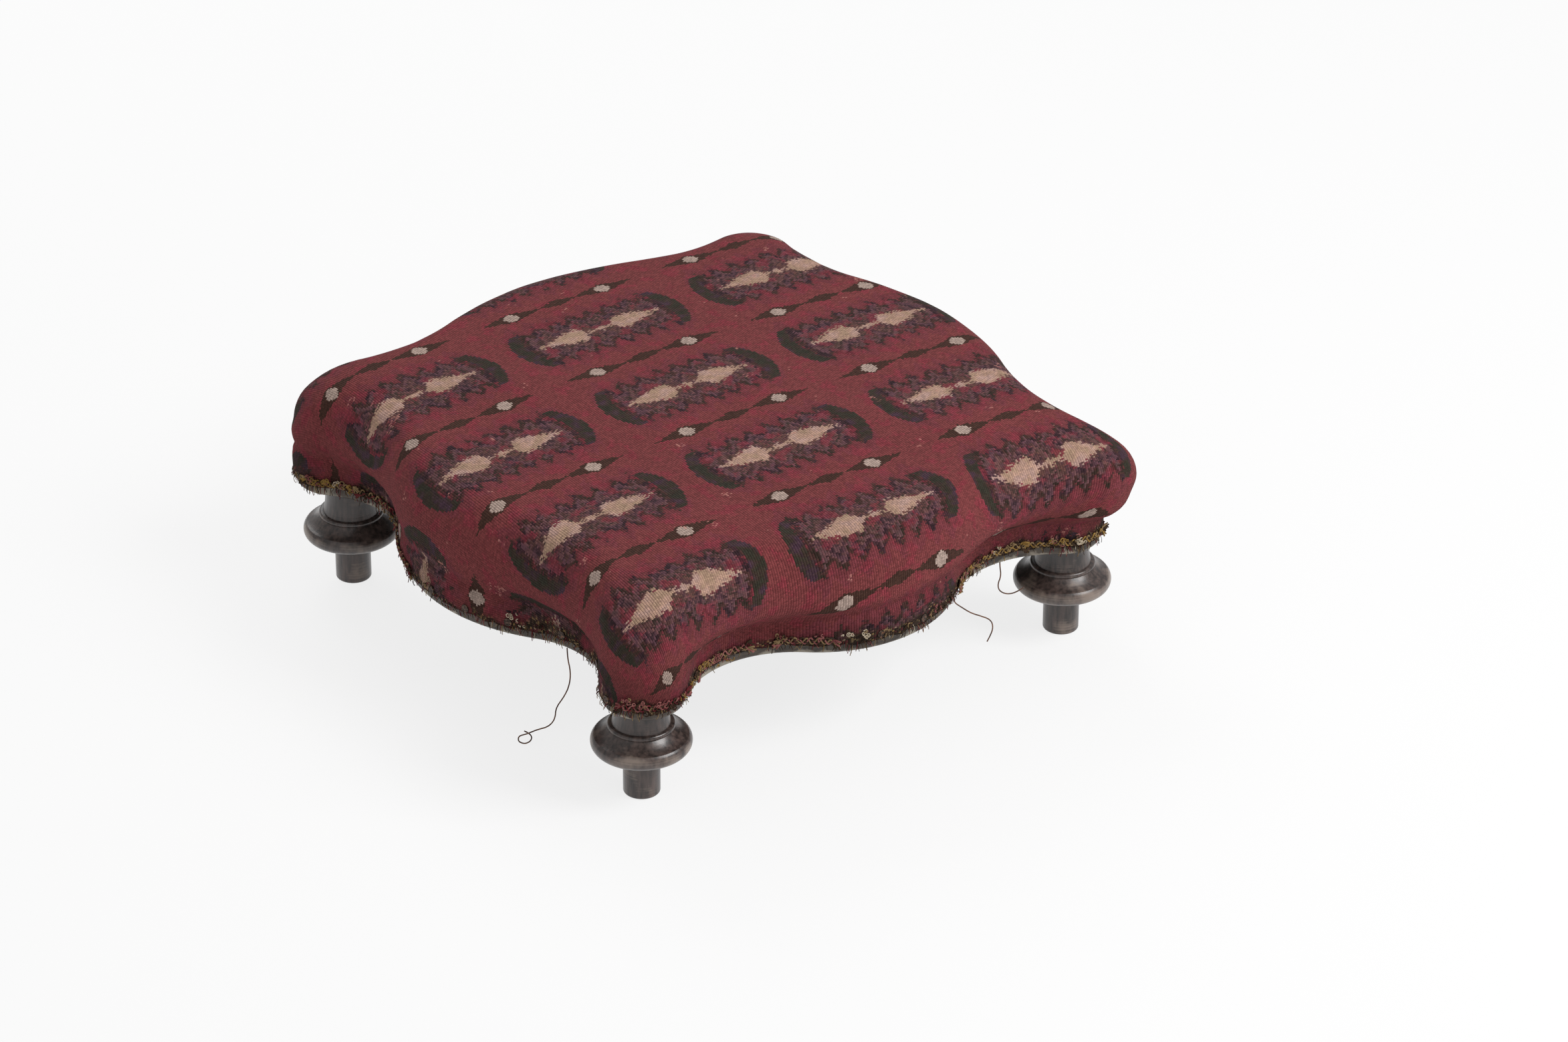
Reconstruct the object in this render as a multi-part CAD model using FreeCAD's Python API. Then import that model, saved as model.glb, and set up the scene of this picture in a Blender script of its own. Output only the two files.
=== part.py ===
"""Upholstered footstool: a serpentine frame on four turned feet under a stuffed, needlework-covered top.

Millimetres, +Z up. The origin is on the floor, under the middle of the frame. The front side faces -Y,
the left side faces -X. Each piece of the stool is its own solid, or group of solids, in its own file.
"""
import FreeCAD, Part
import math
import os

Vector = FreeCAD.Vector
UP = Vector(0, 0, 1)

# Frame: four lapped rails sawn to one serpentine outline
foot_height = 68.0            # floor to the underside of the rails
rail_thickness = 22.0
bow_reach = 198.0             # from the middle to the crest of each side
rail_width = 78.0             # from that crest in to the rail's straight inner edge
edge_round = 2.0              # the rails' lower outer edge
bow_radius_sides = 117.0      # left and right sides
bow_radius_ends = 85.0        # front and back sides
waist_radius_sides = 60.0
waist_radius_ends = 65.0
lobe_radius = 24.0
lobe_setback = {"back_right": (36.0, 35.0), "back_left": (35.0, 36.0),
                "front_left": (36.0, 35.0), "front_right": (46.0, 40.0)}    # in from the crests

# Turned feet
foot_setback_x = 40.4         # of the feet's axes, in from the crests
foot_setback_y = 43.8
stub_radius = 11.0
stub_height = 29.0
stub_flare = 2.0              # spread of the stub where it runs into the disc
stub_flare_hollow = 0.6
floor_round = 1.5             # worn edge where the stub meets the floor
disc_radius = 30.0
disc_height = 35.2            # height of the disc's widest line
disc_edge_drop = 4.2          # from the widest line down to the disc's underside
disc_edge_rise = 4.3          # from the widest line up to the disc's upper rim
disc_rim_inset = 2.0
ogee_hollow = 0.8             # dip of the slope between the disc and the bead
bead_radius = 19.6
bead_height = 45.0
bead_rise = 3.0
bead_swell = 0.5
bead_top_inset = 1.0
neck_radius = 17.5
neck_hollow = 1.6             # how far the neck's hollow is drawn in
spigot_radius = 10.0
spigot_clearance = 0.1
wood_over_spigot = 2.5        # left between the foot's bore and the rail's top
bore_end_gap = 0.5

# Top as it shows: the cloth's outline at its widest, and where the flat of the top begins
top_rise = 61.0               # from the rails' top to the crown
crown_drop = 5.0              # from the middle of the top to where the shoulder begins
widest_rise = 22.0            # from the rails' top to the widest line
wide_overhang = 3.0           # of the widest line past the crest of each side of the frame
wide_bow_radius = 150.0
wide_waist_sides = 140.0
wide_waist_ends = 120.0
wide_lobe_radius = 27.0
wide_lobe_shift = {"back_right": (-8.0, -6.0), "back_left": (2.0, -2.0),
                   "front_left": (0.0, 0.0), "front_right": (15.0, -10.0)}
flat_setback = 24.0           # of the flat's edge from the crest of each side of the frame
flat_bow_radius = 210.0
flat_waist_sides = 175.0
flat_waist_ends = 170.0
flat_lobe_radius = 24.0
flat_lobe_shift = {"back_right": (-38.0, -35.0), "back_left": (37.0, -38.0),
                   "front_left": (28.0, 27.0), "front_right": (-30.0, 40.0)}

# Levels at which the top's form is drawn
side_shares = (0.0, 0.34, 0.67)             # of the way from the rails' top to the widest line
shoulder_steps = (0, 20, 40, 60, 76, 90)    # degrees round the shoulder
crown_steps = (0.75, 0.45, 0.15)            # of the flat's outline

# Cloth and stuffing layers, from the outside in
layer_gap = 0.3
cover_thickness = 1.8
wadding_thickness = 5.0
calico_thickness = 0.8
cover_hem = 6.5               # bare wood left below the cover's raw edge
wadding_rise = 1.0            # from the rails' top to the wadding's lower edge
calico_hem_width = 8.0
calico_tack_inset = 4.4       # from the hem's outer edge

# Webbing, hessian platform and bottom cloth
web_width = 50.0
web_thickness = 1.6
web_pitch = 76.0
web_lap = 24.0                # length of web that lies on a rail
web_fold = 22.0
web_landing = 4.0             # between the opening's edge and the web's first slope
web_flat_margin = 2.0         # flat run past the edges of a web that crosses
hessian_thickness = 0.8
hessian_inset = 10.0
bottom_cloth_thickness = 0.8
bottom_cloth_inset = 12.0
foot_cutout_radius = 24.0

# Tacks
tack_head_radius = 2.5
tack_head_thickness = 0.8
tack_shank_radius = 0.7
tack_tip_radius = 0.18
tack_length = 9.0
tack_hole_clearance = 0.05
web_tack_spread = 16.0
web_tack_setback = 9.0        # from the web's folded end
hessian_tack_setback = 30.0   # outwards from the opening's edge, between two webs
hessian_corner_setback = 20.0
hessian_corner_margin = 8.0   # inwards from the opening's corner
calico_tack_pitch = 46.0
cover_tack_pitch = 33.0
cover_tack_rise = 3.6         # above the cover's raw edge
bottom_tack_pitch = 48.0
bottom_tack_inset = 5.0       # from the bottom cloth's edge

# What is left of the braid that hid the cover's edge
braid_thickness = 1.4
braid_width = 8.0
braid_rests = {"back_left_corner": [("back_left", "lobe", 176, 220)],
               "left_side": [("back_left", "waist_before_bow", -36, 4), ("left", "bow", 190, 204)],
               "front_left_corner": [("front_left", "lobe", 196, 288)],
               "front_side": [("front_left", "waist_before_bow", 92, 112), ("front", "bow", 246, 262),
                              ("front", "bow", 297, 309)],
               "front_right_corner": [("front_right", "waist_after_bow", 62, 88),
                                      ("front_right", "lobe", 240, 300)]}

# Loose threads of the worn edge
thread_diameter = 0.8
thread_arc_share = 0.45       # of the shorter run beside a turn
threads = {
    "left": [(-164.6, -89.5, 68.0), (-164.6, -89.5, 62.0), (-163.0, -90.7, 51.0), (-164.0, -89.9, 41.4),
             (-166.6, -88.0, 34.2), (-170.4, -85.1, 26.8), (-170.8, -84.8, 19.0), (-174.0, -82.4, 13.6),
             (-179.5, -78.3, 11.6), (-184.6, -74.5, 8.4), (-188.3, -71.7, 7.2), (-188.3, -71.2, 2.8),
             (-184.4, -73.4, 0.9), (-181.0, -75.1, 3.4), (-181.1, -74.2, 7.2), (-184.0, -71.4, 8.9)],
    "front": [(55.0, -176.5, 68.0), (55.0, -176.5, 64.0), (58.8, -179.4, 60.5), (63.4, -182.8, 56.4),
              (68.1, -186.3, 54.4), (72.9, -189.9, 52.0), (74.4, -191.0, 47.2), (73.4, -190.3, 41.6),
              (71.6, -188.9, 36.6)],
    "right": [(104.7, -158.5, 68.0), (104.7, -158.5, 63.5), (104.4, -160.6, 57.6), (101.6, -160.8, 52.4),
              (103.2, -160.6, 47.0), (107.4, -163.4, 44.6), (112.0, -166.6, 46.2), (115.4, -169.0, 49.4)],
}

CORNERS = {"back_right": (1, 1), "back_left": (-1, 1), "front_left": (-1, -1), "front_right": (1, -1)}
SIDES = ("right", "back", "left", "front")

rail_top = foot_height + rail_thickness
opening_half = bow_reach - rail_width
lobe_reach = {name: (CORNERS[name][0] * (bow_reach - x), CORNERS[name][1] * (bow_reach - y))
              for name, (x, y) in lobe_setback.items()}
foot_x = bow_reach - foot_setback_x
foot_y = bow_reach - foot_setback_y
top_height = rail_top + top_rise
widest_height = rail_top + widest_rise
flat_height = top_height - crown_drop
spigot_length = rail_thickness - wood_over_spigot - bore_end_gap
cover_edge = foot_height + cover_hem
build_up = layer_gap + cover_thickness
web_half_length = opening_half + web_lap
wadding_depth = cover_thickness + layer_gap
calico_depth = wadding_depth + wadding_thickness + layer_gap
stuffing_depth = calico_depth + calico_thickness + layer_gap
hessian_height = rail_top + 2 * web_thickness + tack_head_thickness
stuffing_height = hessian_height + hessian_thickness + tack_head_thickness + layer_gap
past = 1.0                    # how far a cut runs on past what it cuts


def along(start, end, share):
    """The point that lies this share of the way from start to end."""
    return tuple(a + (b - a) * share for a, b in zip(start, end))


class Plan:
    """A serpentine outline of arcs: a bow in each side, a lobe at each corner, waists between them."""

    def __init__(self, reach, bow_sides, bow_ends, waist_sides, waist_ends, lobe, lobes):
        self.sizes = (reach, bow_sides, bow_ends, waist_sides, waist_ends, lobe)
        self.lobes = lobes

    def mixed(self, other, share):
        lobes = {name: along(self.lobes[name], other.lobes[name], share) for name in CORNERS}
        return Plan(*along(self.sizes, other.sizes, share), lobes)

    def inset(self, depth):
        reach, bow_sides, bow_ends, waist_sides, waist_ends, lobe = self.sizes
        return Plan(reach - depth, bow_sides - depth, bow_ends - depth,
                    waist_sides + depth, waist_ends + depth, lobe - depth, self.lobes)

    def scaled(self, factor):
        lobes = {name: (x * factor, y * factor) for name, (x, y) in self.lobes.items()}
        return Plan(*(size * factor for size in self.sizes), lobes)

    def circles(self):
        """The outline's circles, anticlockwise from the right side's bow, as (name, kind, centre, radius)."""
        reach, bow_sides, bow_ends, waist_sides, waist_ends, lobe = self.sizes
        bows = []
        for step in range(4):
            radius = bow_ends if step % 2 else bow_sides
            angle = math.radians(90 * step)
            centre = Vector((reach - radius) * math.cos(angle), (reach - radius) * math.sin(angle), 0)
            bows.append((centre, radius))
        found = []
        for step, corner in enumerate(CORNERS):
            bow, bow_radius = bows[step]
            next_bow, next_radius = bows[(step + 1) % 4]
            centre = Vector(*self.lobes[corner], 0)
            before = waist_ends if step % 2 else waist_sides
            after = waist_sides if step % 2 else waist_ends
            found.append((SIDES[step], "bow", bow, bow_radius))
            found.append((corner, "waist_after_bow", touching(bow, bow_radius, centre, lobe, before), before))
            found.append((corner, "lobe", centre, lobe))
            found.append((corner, "waist_before_bow", touching(centre, lobe, next_bow, next_radius, after),
                          after))
        return found

    def wire(self, height):
        circles = self.circles()
        joins = []
        for step, (_, _, centre, _) in enumerate(circles):
            _, _, last_centre, last_radius = circles[step - 1]
            joins.append(last_centre + (centre - last_centre).normalize() * last_radius)
        edges = []
        for step, (corner, kind, centre, radius) in enumerate(circles):
            start = joins[step]
            end = joins[(step + 1) % len(joins)]
            stops = [start, end]
            if kind == "lobe":
                outward = Vector(math.copysign(1, centre.x), math.copysign(1, centre.y), 0).normalize()
                stops.insert(1, centre + outward * radius)
            for first, second in zip(stops, stops[1:]):
                middle = centre + ((first - centre) + (second - centre)).normalize() * radius
                lift = UP * height
                edges.append(Part.Arc(first + lift, middle + lift, second + lift).toShape())
        return Part.Wire(edges)

    def slab(self, height, thickness):
        return Part.Face(self.wire(height)).extrude(UP * thickness)

    def places(self, pitch):
        """Points on the outline about one pitch apart, each with its outward direction."""
        wire = self.wire(0)
        count = max(8, round(wire.Length / pitch))
        found = []
        for edge in wire.Edges:
            steps = max(1, round(count * edge.Length / wire.Length))
            for step in range(steps):
                at = edge.FirstParameter + (edge.LastParameter - edge.FirstParameter) * (step + 0.5) / steps
                side = edge.tangentAt(at).cross(UP)
                point = edge.valueAt(at)
                if side.dot(Vector(point.x, point.y, 0)) < 0:
                    side = side * -1
                found.append((point, side.normalize()))
        return found


def touching(first, first_radius, second, second_radius, radius):
    """Centre of the circle of this radius that touches two circles on the outer side of the outline."""
    step = second - first
    gap = step.Length
    step.normalize()
    forward = ((first_radius + radius) ** 2 - (second_radius + radius) ** 2 + gap ** 2) / (2 * gap)
    aside = math.sqrt((first_radius + radius) ** 2 - forward ** 2)
    return first + step * forward + step.cross(UP) * aside


def shifted(places, shifts):
    return {name: (x + shifts[name][0], y + shifts[name][1]) for name, (x, y) in places.items()}


frame_plan = Plan(bow_reach, bow_radius_sides, bow_radius_ends, waist_radius_sides, waist_radius_ends,
                  lobe_radius, lobe_reach)
wide_plan = Plan(bow_reach + wide_overhang, wide_bow_radius, wide_bow_radius, wide_waist_sides,
                 wide_waist_ends, wide_lobe_radius, shifted(lobe_reach, wide_lobe_shift))
flat_plan = Plan(bow_reach - flat_setback, flat_bow_radius, flat_bow_radius, flat_waist_sides,
                 flat_waist_ends, flat_lobe_radius, shifted(lobe_reach, flat_lobe_shift))


def box(low, high):
    size = Vector(*high) - Vector(*low)
    return Part.makeBox(size.x, size.y, size.z, Vector(*low))


def cushion(depth, bottom):
    """The top's crowned form, its surface this far inside the cloth's face, cut level at the bottom."""
    skirt = frame_plan.inset(depth - build_up)
    wide = wide_plan.inset(depth)
    flat = flat_plan.inset(depth)

    def side_plan(height):
        share = max(0, (height - rail_top) / (widest_height - rail_top))
        return skirt.mixed(wide, math.sin(share * math.pi / 2))

    levels = [bottom] if bottom < rail_top else []
    levels += [rail_top + (widest_height - rail_top) * share for share in side_shares]
    sections = [(height, side_plan(height)) for height in levels]
    for degrees in shoulder_steps:
        angle = math.radians(degrees)
        height = widest_height + (flat_height - depth - widest_height) * math.sin(angle)
        sections.append((height, wide.mixed(flat, 1 - math.cos(angle))))
    for factor in crown_steps:
        height = top_height - depth - crown_drop * factor ** 2
        sections.append((height, flat.scaled(factor)))
    form = Part.makeLoft([plan.wire(height) for height, plan in sections], True, True)
    if bottom > rail_top:
        far = 2 * bow_reach
        form = form.cut(box((-far, -far, foot_height), (far, far, bottom)))
    return form


def tack(point, inward, length=tack_length):
    """A tack whose head's underside is at the point and whose shank runs inward from it."""
    head = Part.makeCylinder(tack_head_radius, tack_head_thickness, point, inward * -1)
    shank = Part.makeCone(tack_shank_radius, tack_tip_radius, length, point, inward)
    return head.fuse(shank)


def tack_hole(point, inward, length=tack_length):
    return Part.makeCylinder(tack_shank_radius + tack_hole_clearance, length + bore_end_gap, point, inward)


def web_tack_places():
    found = []
    reach = web_half_length - web_tack_setback
    height = rail_top + 2 * web_thickness
    for row in (-1, 0, 1):
        for spread in (-web_tack_spread, 0, web_tack_spread):
            for end in (-1, 1):
                across = row * web_pitch + spread
                found.append((Vector(end * reach, across, height), UP * -1))
                found.append((Vector(across, end * reach, height), UP * -1))
    return found


def hessian_tack_spots():
    height = hessian_height + hessian_thickness
    found = []
    reach = opening_half + hessian_tack_setback
    near = opening_half - hessian_corner_margin
    far = opening_half + hessian_corner_setback
    for end in (-1, 1):
        for side in (-1, 1):
            between_webs = side * web_pitch / 2
            found.append((Vector(end * reach, between_webs, height), UP * -1))
            found.append((Vector(between_webs, end * reach, height), UP * -1))
            found.append((Vector(end * far, side * near, height), UP * -1))
            found.append((Vector(end * near, side * far, height), UP * -1))
    return found


def clear_of_feet(plan, pitch, height, inward, room):
    """Tack places along an outline, without those that come nearer than this to a foot's axis."""
    found = []
    for point, _ in plan.places(pitch):
        if math.hypot(abs(point.x) - foot_x, abs(point.y) - foot_y) > room:
            found.append((point + UP * height, inward))
    return found


def calico_tack_spots():
    plan = frame_plan.inset(calico_depth - build_up + calico_tack_inset)
    room = spigot_radius + tack_head_radius
    return clear_of_feet(plan, calico_tack_pitch, rail_top + calico_thickness, UP * -1, room)


def cover_tack_spots():
    height = cover_edge + cover_tack_rise
    return [(point + UP * height, side * -1)
            for point, side in frame_plan.inset(-build_up).places(cover_tack_pitch)]


def bottom_tack_spots():
    plan = frame_plan.inset(bottom_cloth_inset + bottom_tack_inset)
    room = foot_cutout_radius + tack_head_radius
    return clear_of_feet(plan, bottom_tack_pitch, foot_height - bottom_cloth_thickness, UP, room)


hessian_shank = tack_length + 2 * web_thickness
TACKS = {"webbing_tacks": (web_tack_places(), tack_length),
         "hessian_tacks": (hessian_tack_spots(), hessian_shank),
         "calico_tacks": (calico_tack_spots(), tack_length),
         "cover_tacks": (cover_tack_spots(), tack_length),
         "bottom_cloth_tacks": (bottom_tack_spots(), tack_length)}


def holes(*names):
    cuts = []
    for name in names:
        spots, length = TACKS[name]
        cuts += [tack_hole(point, inward, length) for point, inward in spots]
    return Part.makeCompound(cuts)


def rails():
    """Four rails, half-lapped at the corners, bored for the feet and the tacks."""
    far = 2 * bow_reach
    lap_height = foot_height + rail_thickness / 2
    blank = frame_plan.slab(foot_height, rail_thickness)
    lower_edges = [edge for edge in blank.Edges if edge.BoundBox.ZMax < foot_height + edge_round / 2]
    blank = blank.makeFillet(edge_round, lower_edges)
    bores = []
    for x, y in foot_places().values():
        bores.append(Part.makeCylinder(spigot_radius + spigot_clearance, spigot_length + bore_end_gap,
                                       Vector(x, y, foot_height)))
    blank = blank.cut(Part.makeCompound(bores)).cut(holes(*TACKS))
    made = {}
    for side, turn in (("front", 0), ("right", 90), ("back", 180), ("left", 270)):
        area = box((-far, -far, foot_height - past), (far, -opening_half, rail_top + past))
        on_end = side in ("front", "back")
        cut_low = lap_height if on_end else foot_height - past
        cut_high = rail_top + past if on_end else lap_height
        for hand in (-1, 1):
            near, wide = sorted((hand * opening_half, hand * far))
            area = area.cut(box((near, -far, cut_low), (wide, -opening_half, cut_high)))
        area.rotate(Vector(0, 0, 0), UP, turn)
        made[side + "_rail"] = blank.common(area)
    return made


def foot_places():
    return {"foot_" + corner: (side_x * foot_x, side_y * foot_y) for corner, (side_x, side_y) in CORNERS.items()}


def foot():
    """One turned foot with its spigot, standing on the origin."""
    rim = disc_radius - disc_rim_inset
    underside = disc_height - disc_edge_drop
    upper_rim = disc_height + disc_edge_rise
    bead_top = bead_height + bead_rise
    bead_rim = bead_radius - bead_top_inset
    stub_top = stub_radius + stub_flare
    shoulder = foot_height

    def at(radius, height):
        return Vector(radius, 0, height)

    def line(start, end):
        return Part.LineSegment(start, end).toShape()

    def arc(start, middle, end):
        return Part.Arc(start, middle, end).toShape()

    sole = stub_radius - floor_round
    worn = floor_round * (1 - math.sin(math.radians(45)))
    edges = [
        line(at(0, 0), at(sole, 0)),
        arc(at(sole, 0), at(stub_radius - worn, worn), at(stub_radius, floor_round)),
        line(at(stub_radius, floor_round), at(stub_radius, stub_height)),
        arc(at(stub_radius, stub_height),
            at(stub_radius + stub_flare_hollow, underside - stub_flare_hollow), at(stub_top, underside)),
        line(at(stub_top, underside), at(rim, underside)),
        arc(at(rim, underside), at(disc_radius, disc_height), at(rim, upper_rim)),
        arc(at(rim, upper_rim), at((rim + bead_radius) / 2, (upper_rim + bead_height) / 2 - ogee_hollow),
            at(bead_radius, bead_height)),
        arc(at(bead_radius, bead_height), at(bead_radius + bead_swell, (bead_height + bead_top) / 2),
            at(bead_rim, bead_top)),
        line(at(bead_rim, bead_top), at(neck_radius, bead_top)),
        arc(at(neck_radius, bead_top), at(neck_radius - neck_hollow, (bead_top + shoulder) / 2),
            at(neck_radius, shoulder)),
        line(at(neck_radius, shoulder), at(spigot_radius, shoulder)),
        line(at(spigot_radius, shoulder), at(spigot_radius, shoulder + spigot_length)),
        line(at(spigot_radius, shoulder + spigot_length), at(0, shoulder + spigot_length)),
        line(at(0, shoulder + spigot_length), at(0, 0)),
    ]
    return Part.Face(Part.Wire(edges)).revolve(Vector(0, 0, 0), UP, 360)


def web(row, over_first):
    """One jute web along X: over and under the three webs that cross it, its ends folded on the rails."""
    weave = (web_thickness + layer_gap) / 2
    flat = web_width / 2 + web_flat_margin
    landing = opening_half - web_landing
    low = [(-web_half_length, 0), (-landing, 0)]
    for crossing in (-1, 0, 1):
        lift = weave if (crossing % 2 == 0) == over_first else -weave
        low += [(crossing * web_pitch - flat, lift), (crossing * web_pitch + flat, lift)]
    low += [(landing, 0), (web_half_length, 0)]
    top = [(x, z + web_thickness) for x, z in low[1:-1]]
    fold = web_half_length - web_fold
    left_fold = [(-web_half_length, 2 * web_thickness), (-fold, 2 * web_thickness), (-fold, web_thickness)]
    right_fold = [(fold, web_thickness), (fold, 2 * web_thickness), (web_half_length, 2 * web_thickness)]
    outline = low + (left_fold + top + right_fold)[::-1]
    near = row * web_pitch - web_width / 2
    points = [Vector(x, near, rail_top + z) for x, z in outline]
    return Part.Face(Part.makePolygon(points + points[:1])).extrude(Vector(0, web_width, 0))


def webbing():
    made = {}
    cuts = holes("webbing_tacks")
    for number, row in enumerate((-1, 0, 1), 1):
        length_web = web(row, over_first=row == 0)
        cross_web = web(row, over_first=row != 0)
        cross_web.rotate(Vector(0, 0, 0), UP, 90)
        made[f"web_lengthwise_{number}"] = length_web.cut(cuts)
        made[f"web_crosswise_{number}"] = cross_web.cut(cuts)
    return made


def braid_piece(corner, kind, start, end):
    """A length of braid on the cover's skirt, along one of the outline's arcs."""
    plan = frame_plan.inset(-build_up - layer_gap)
    centre, radius = next((c, r) for name, k, c, r in plan.circles() if (name, k) == (corner, kind))
    thickness = -braid_thickness if kind.startswith("waist") else braid_thickness
    arcs = []
    for reach in (radius, radius + thickness):
        stops = [centre + Vector(math.cos(math.radians(a)), math.sin(math.radians(a)), 0) * reach
                 for a in (start, (start + end) / 2, end)]
        arcs.append([stop + UP * cover_edge for stop in stops])
    inner, outer = arcs
    edges = [Part.Arc(*inner).toShape(), Part.LineSegment(inner[2], outer[2]).toShape(),
             Part.Arc(*outer[::-1]).toShape(), Part.LineSegment(outer[0], inner[0]).toShape()]
    return Part.Face(Part.Wire(edges)).extrude(UP * braid_width).cut(tack_head_dents())


def tack_head_dents():
    """Where the cover tacks' heads bite into the cloth and the braid over it."""
    radius = tack_head_radius + tack_hole_clearance
    depth = tack_head_thickness + tack_hole_clearance
    return Part.makeCompound([Part.makeCylinder(radius, depth, point, inward * -1)
                              for point, inward in cover_tack_spots()])


def calico_undercover():
    """A shell under the wadding, turned in as a flat hem on the rails' top."""
    hem_top = rail_top + calico_thickness
    shell = cushion(calico_depth, rail_top).cut(cushion(calico_depth + calico_thickness, hem_top))
    mouth = frame_plan.inset(calico_depth - build_up + calico_hem_width)
    return shell.cut(mouth.slab(rail_top - past, calico_thickness + 2 * past))


def thread(route):
    """A loose thread: straight runs joined by tangent arcs, as large as the runs allow."""
    points = [Vector(*point) for point in route]
    edges = []
    last = points[0]
    radii = []
    for before, corner, after in zip(points, points[1:], points[2:]):
        back = (before - corner)
        ahead = (after - corner)
        trim = thread_arc_share * min(back.Length, ahead.Length)
        back.normalize()
        ahead.normalize()
        half_turn = (math.pi - back.getAngle(ahead)) / 2
        radius = trim / math.tan(half_turn)
        radii.append(radius)
        inward = (back + ahead).normalize()
        centre = corner + inward * (radius / math.cos(half_turn))
        start = corner + back * trim
        end = corner + ahead * trim
        edges.append(Part.LineSegment(last, start).toShape())
        edges.append(Part.Arc(start, centre - inward * radius, end).toShape())
        last = end
    edges.append(Part.LineSegment(last, points[-1]).toShape())
    path = Part.Wire(edges)
    ring = Part.Wire(Part.makeCircle(thread_diameter / 2, points[0], points[1] - points[0]))
    tube = path.makePipeShell([ring], True, False)
    share = tube.Volume / (math.pi * (thread_diameter / 2) ** 2 * path.Length)
    return tube, path.Length, radii, share


def build():
    parts = {}
    parts.update(rails())
    for name, (x, y) in foot_places().items():
        parts[name] = foot().translated(Vector(x, y, 0))
    parts.update(webbing())
    for name, (spots, length) in TACKS.items():
        parts[name] = Part.makeCompound([tack(point, inward, length) for point, inward in spots])
    hessian = frame_plan.inset(hessian_inset).slab(hessian_height, hessian_thickness)
    parts["hessian_platform"] = hessian.cut(holes("hessian_tacks"))
    parts["stuffing"] = cushion(stuffing_depth, stuffing_height)
    parts["calico_undercover"] = calico_undercover().cut(holes("calico_tacks"))
    wadding_edge = rail_top + wadding_rise
    parts["wadding"] = cushion(wadding_depth, wadding_edge).cut(
        cushion(wadding_depth + wadding_thickness, wadding_edge - past))
    parts["needlework_cover"] = cushion(0, cover_edge).cut(
        cushion(cover_thickness, cover_edge - past)).cut(holes("cover_tacks")).cut(tack_head_dents())
    bottom = foot_height - bottom_cloth_thickness
    cloth = frame_plan.inset(bottom_cloth_inset).slab(bottom, bottom_cloth_thickness)
    for x, y in foot_places().values():
        cloth = cloth.cut(Part.makeCylinder(foot_cutout_radius, bottom_cloth_thickness, Vector(x, y, bottom)))
    parts["bottom_cloth"] = cloth.cut(holes("bottom_cloth_tacks"))
    for name, pieces in braid_rests.items():
        parts["braid_remnant_" + name] = Part.makeCompound([braid_piece(*piece) for piece in pieces])
    for name, route in threads.items():
        tube, length, radii, share = thread(route)
        parts["loose_thread_" + name] = tube
        print(f"loose thread {name}: length {length:.1f} mm, volume share {share:.4f}, radii",
              [round(radius, 1) for radius in radii])
    return parts


os.makedirs("parts", exist_ok=True)
for name, shape in build().items():
    shape.exportStep(f"parts/{name}.step")
    bounds = shape.BoundBox
    print(f"{name}: {len(shape.Solids)} solids, valid {shape.isValid()}, volume {shape.Volume:.0f} mm3,",
          f"z {bounds.ZMin:.1f} to {bounds.ZMax:.1f}")
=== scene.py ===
import math
import random

import bmesh
import bpy
from mathutils import Matrix, Vector, noise


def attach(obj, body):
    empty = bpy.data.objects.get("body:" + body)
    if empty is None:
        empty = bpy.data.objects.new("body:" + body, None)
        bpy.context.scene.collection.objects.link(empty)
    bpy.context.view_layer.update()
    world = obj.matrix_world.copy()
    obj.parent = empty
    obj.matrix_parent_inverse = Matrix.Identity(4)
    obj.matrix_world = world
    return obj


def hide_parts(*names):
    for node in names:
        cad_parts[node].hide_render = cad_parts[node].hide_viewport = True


# %% [markdown]
# A small upholstered footstool. Its frame of four lapped rails stands on turned feet and is finished
# already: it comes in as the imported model. This lesson dresses it: the needlework top, the frayed edge,
# the wood, and the layers that an upholsterer puts under the cloth.
# Everything is in metres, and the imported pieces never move.

# %% Load the frame
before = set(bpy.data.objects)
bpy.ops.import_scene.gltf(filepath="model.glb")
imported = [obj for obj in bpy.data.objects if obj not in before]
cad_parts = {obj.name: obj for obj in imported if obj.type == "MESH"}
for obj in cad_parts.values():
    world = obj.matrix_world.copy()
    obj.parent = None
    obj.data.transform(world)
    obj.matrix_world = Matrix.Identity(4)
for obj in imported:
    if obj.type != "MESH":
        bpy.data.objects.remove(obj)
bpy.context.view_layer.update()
MM = 0.001
print("packed pieces:", len(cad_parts))

# %% [markdown]
# The photograph was taken with a long lens from above the front-left corner. A camera that is matched to
# it by the feet and by the pattern's repeat lets the render be laid beside it, region by region. The values
# are the measured angles and the lens, so the camera is placed by them and not by eye.

# %% Camera
AZIMUTH = math.radians(-36.8584)
ELEVATION = math.radians(29.8482)
ROLL = math.radians(0.2841)
CAMERA_DISTANCE = 3528.896 * MM
AIM = Vector((0, 0, 60 * MM))
SHIFT_RIGHT = 48.7365 * MM
SHIFT_UP = -2.9113 * MM
LENS = 132.27           # mm
SENSOR = 36             # mm


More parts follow.
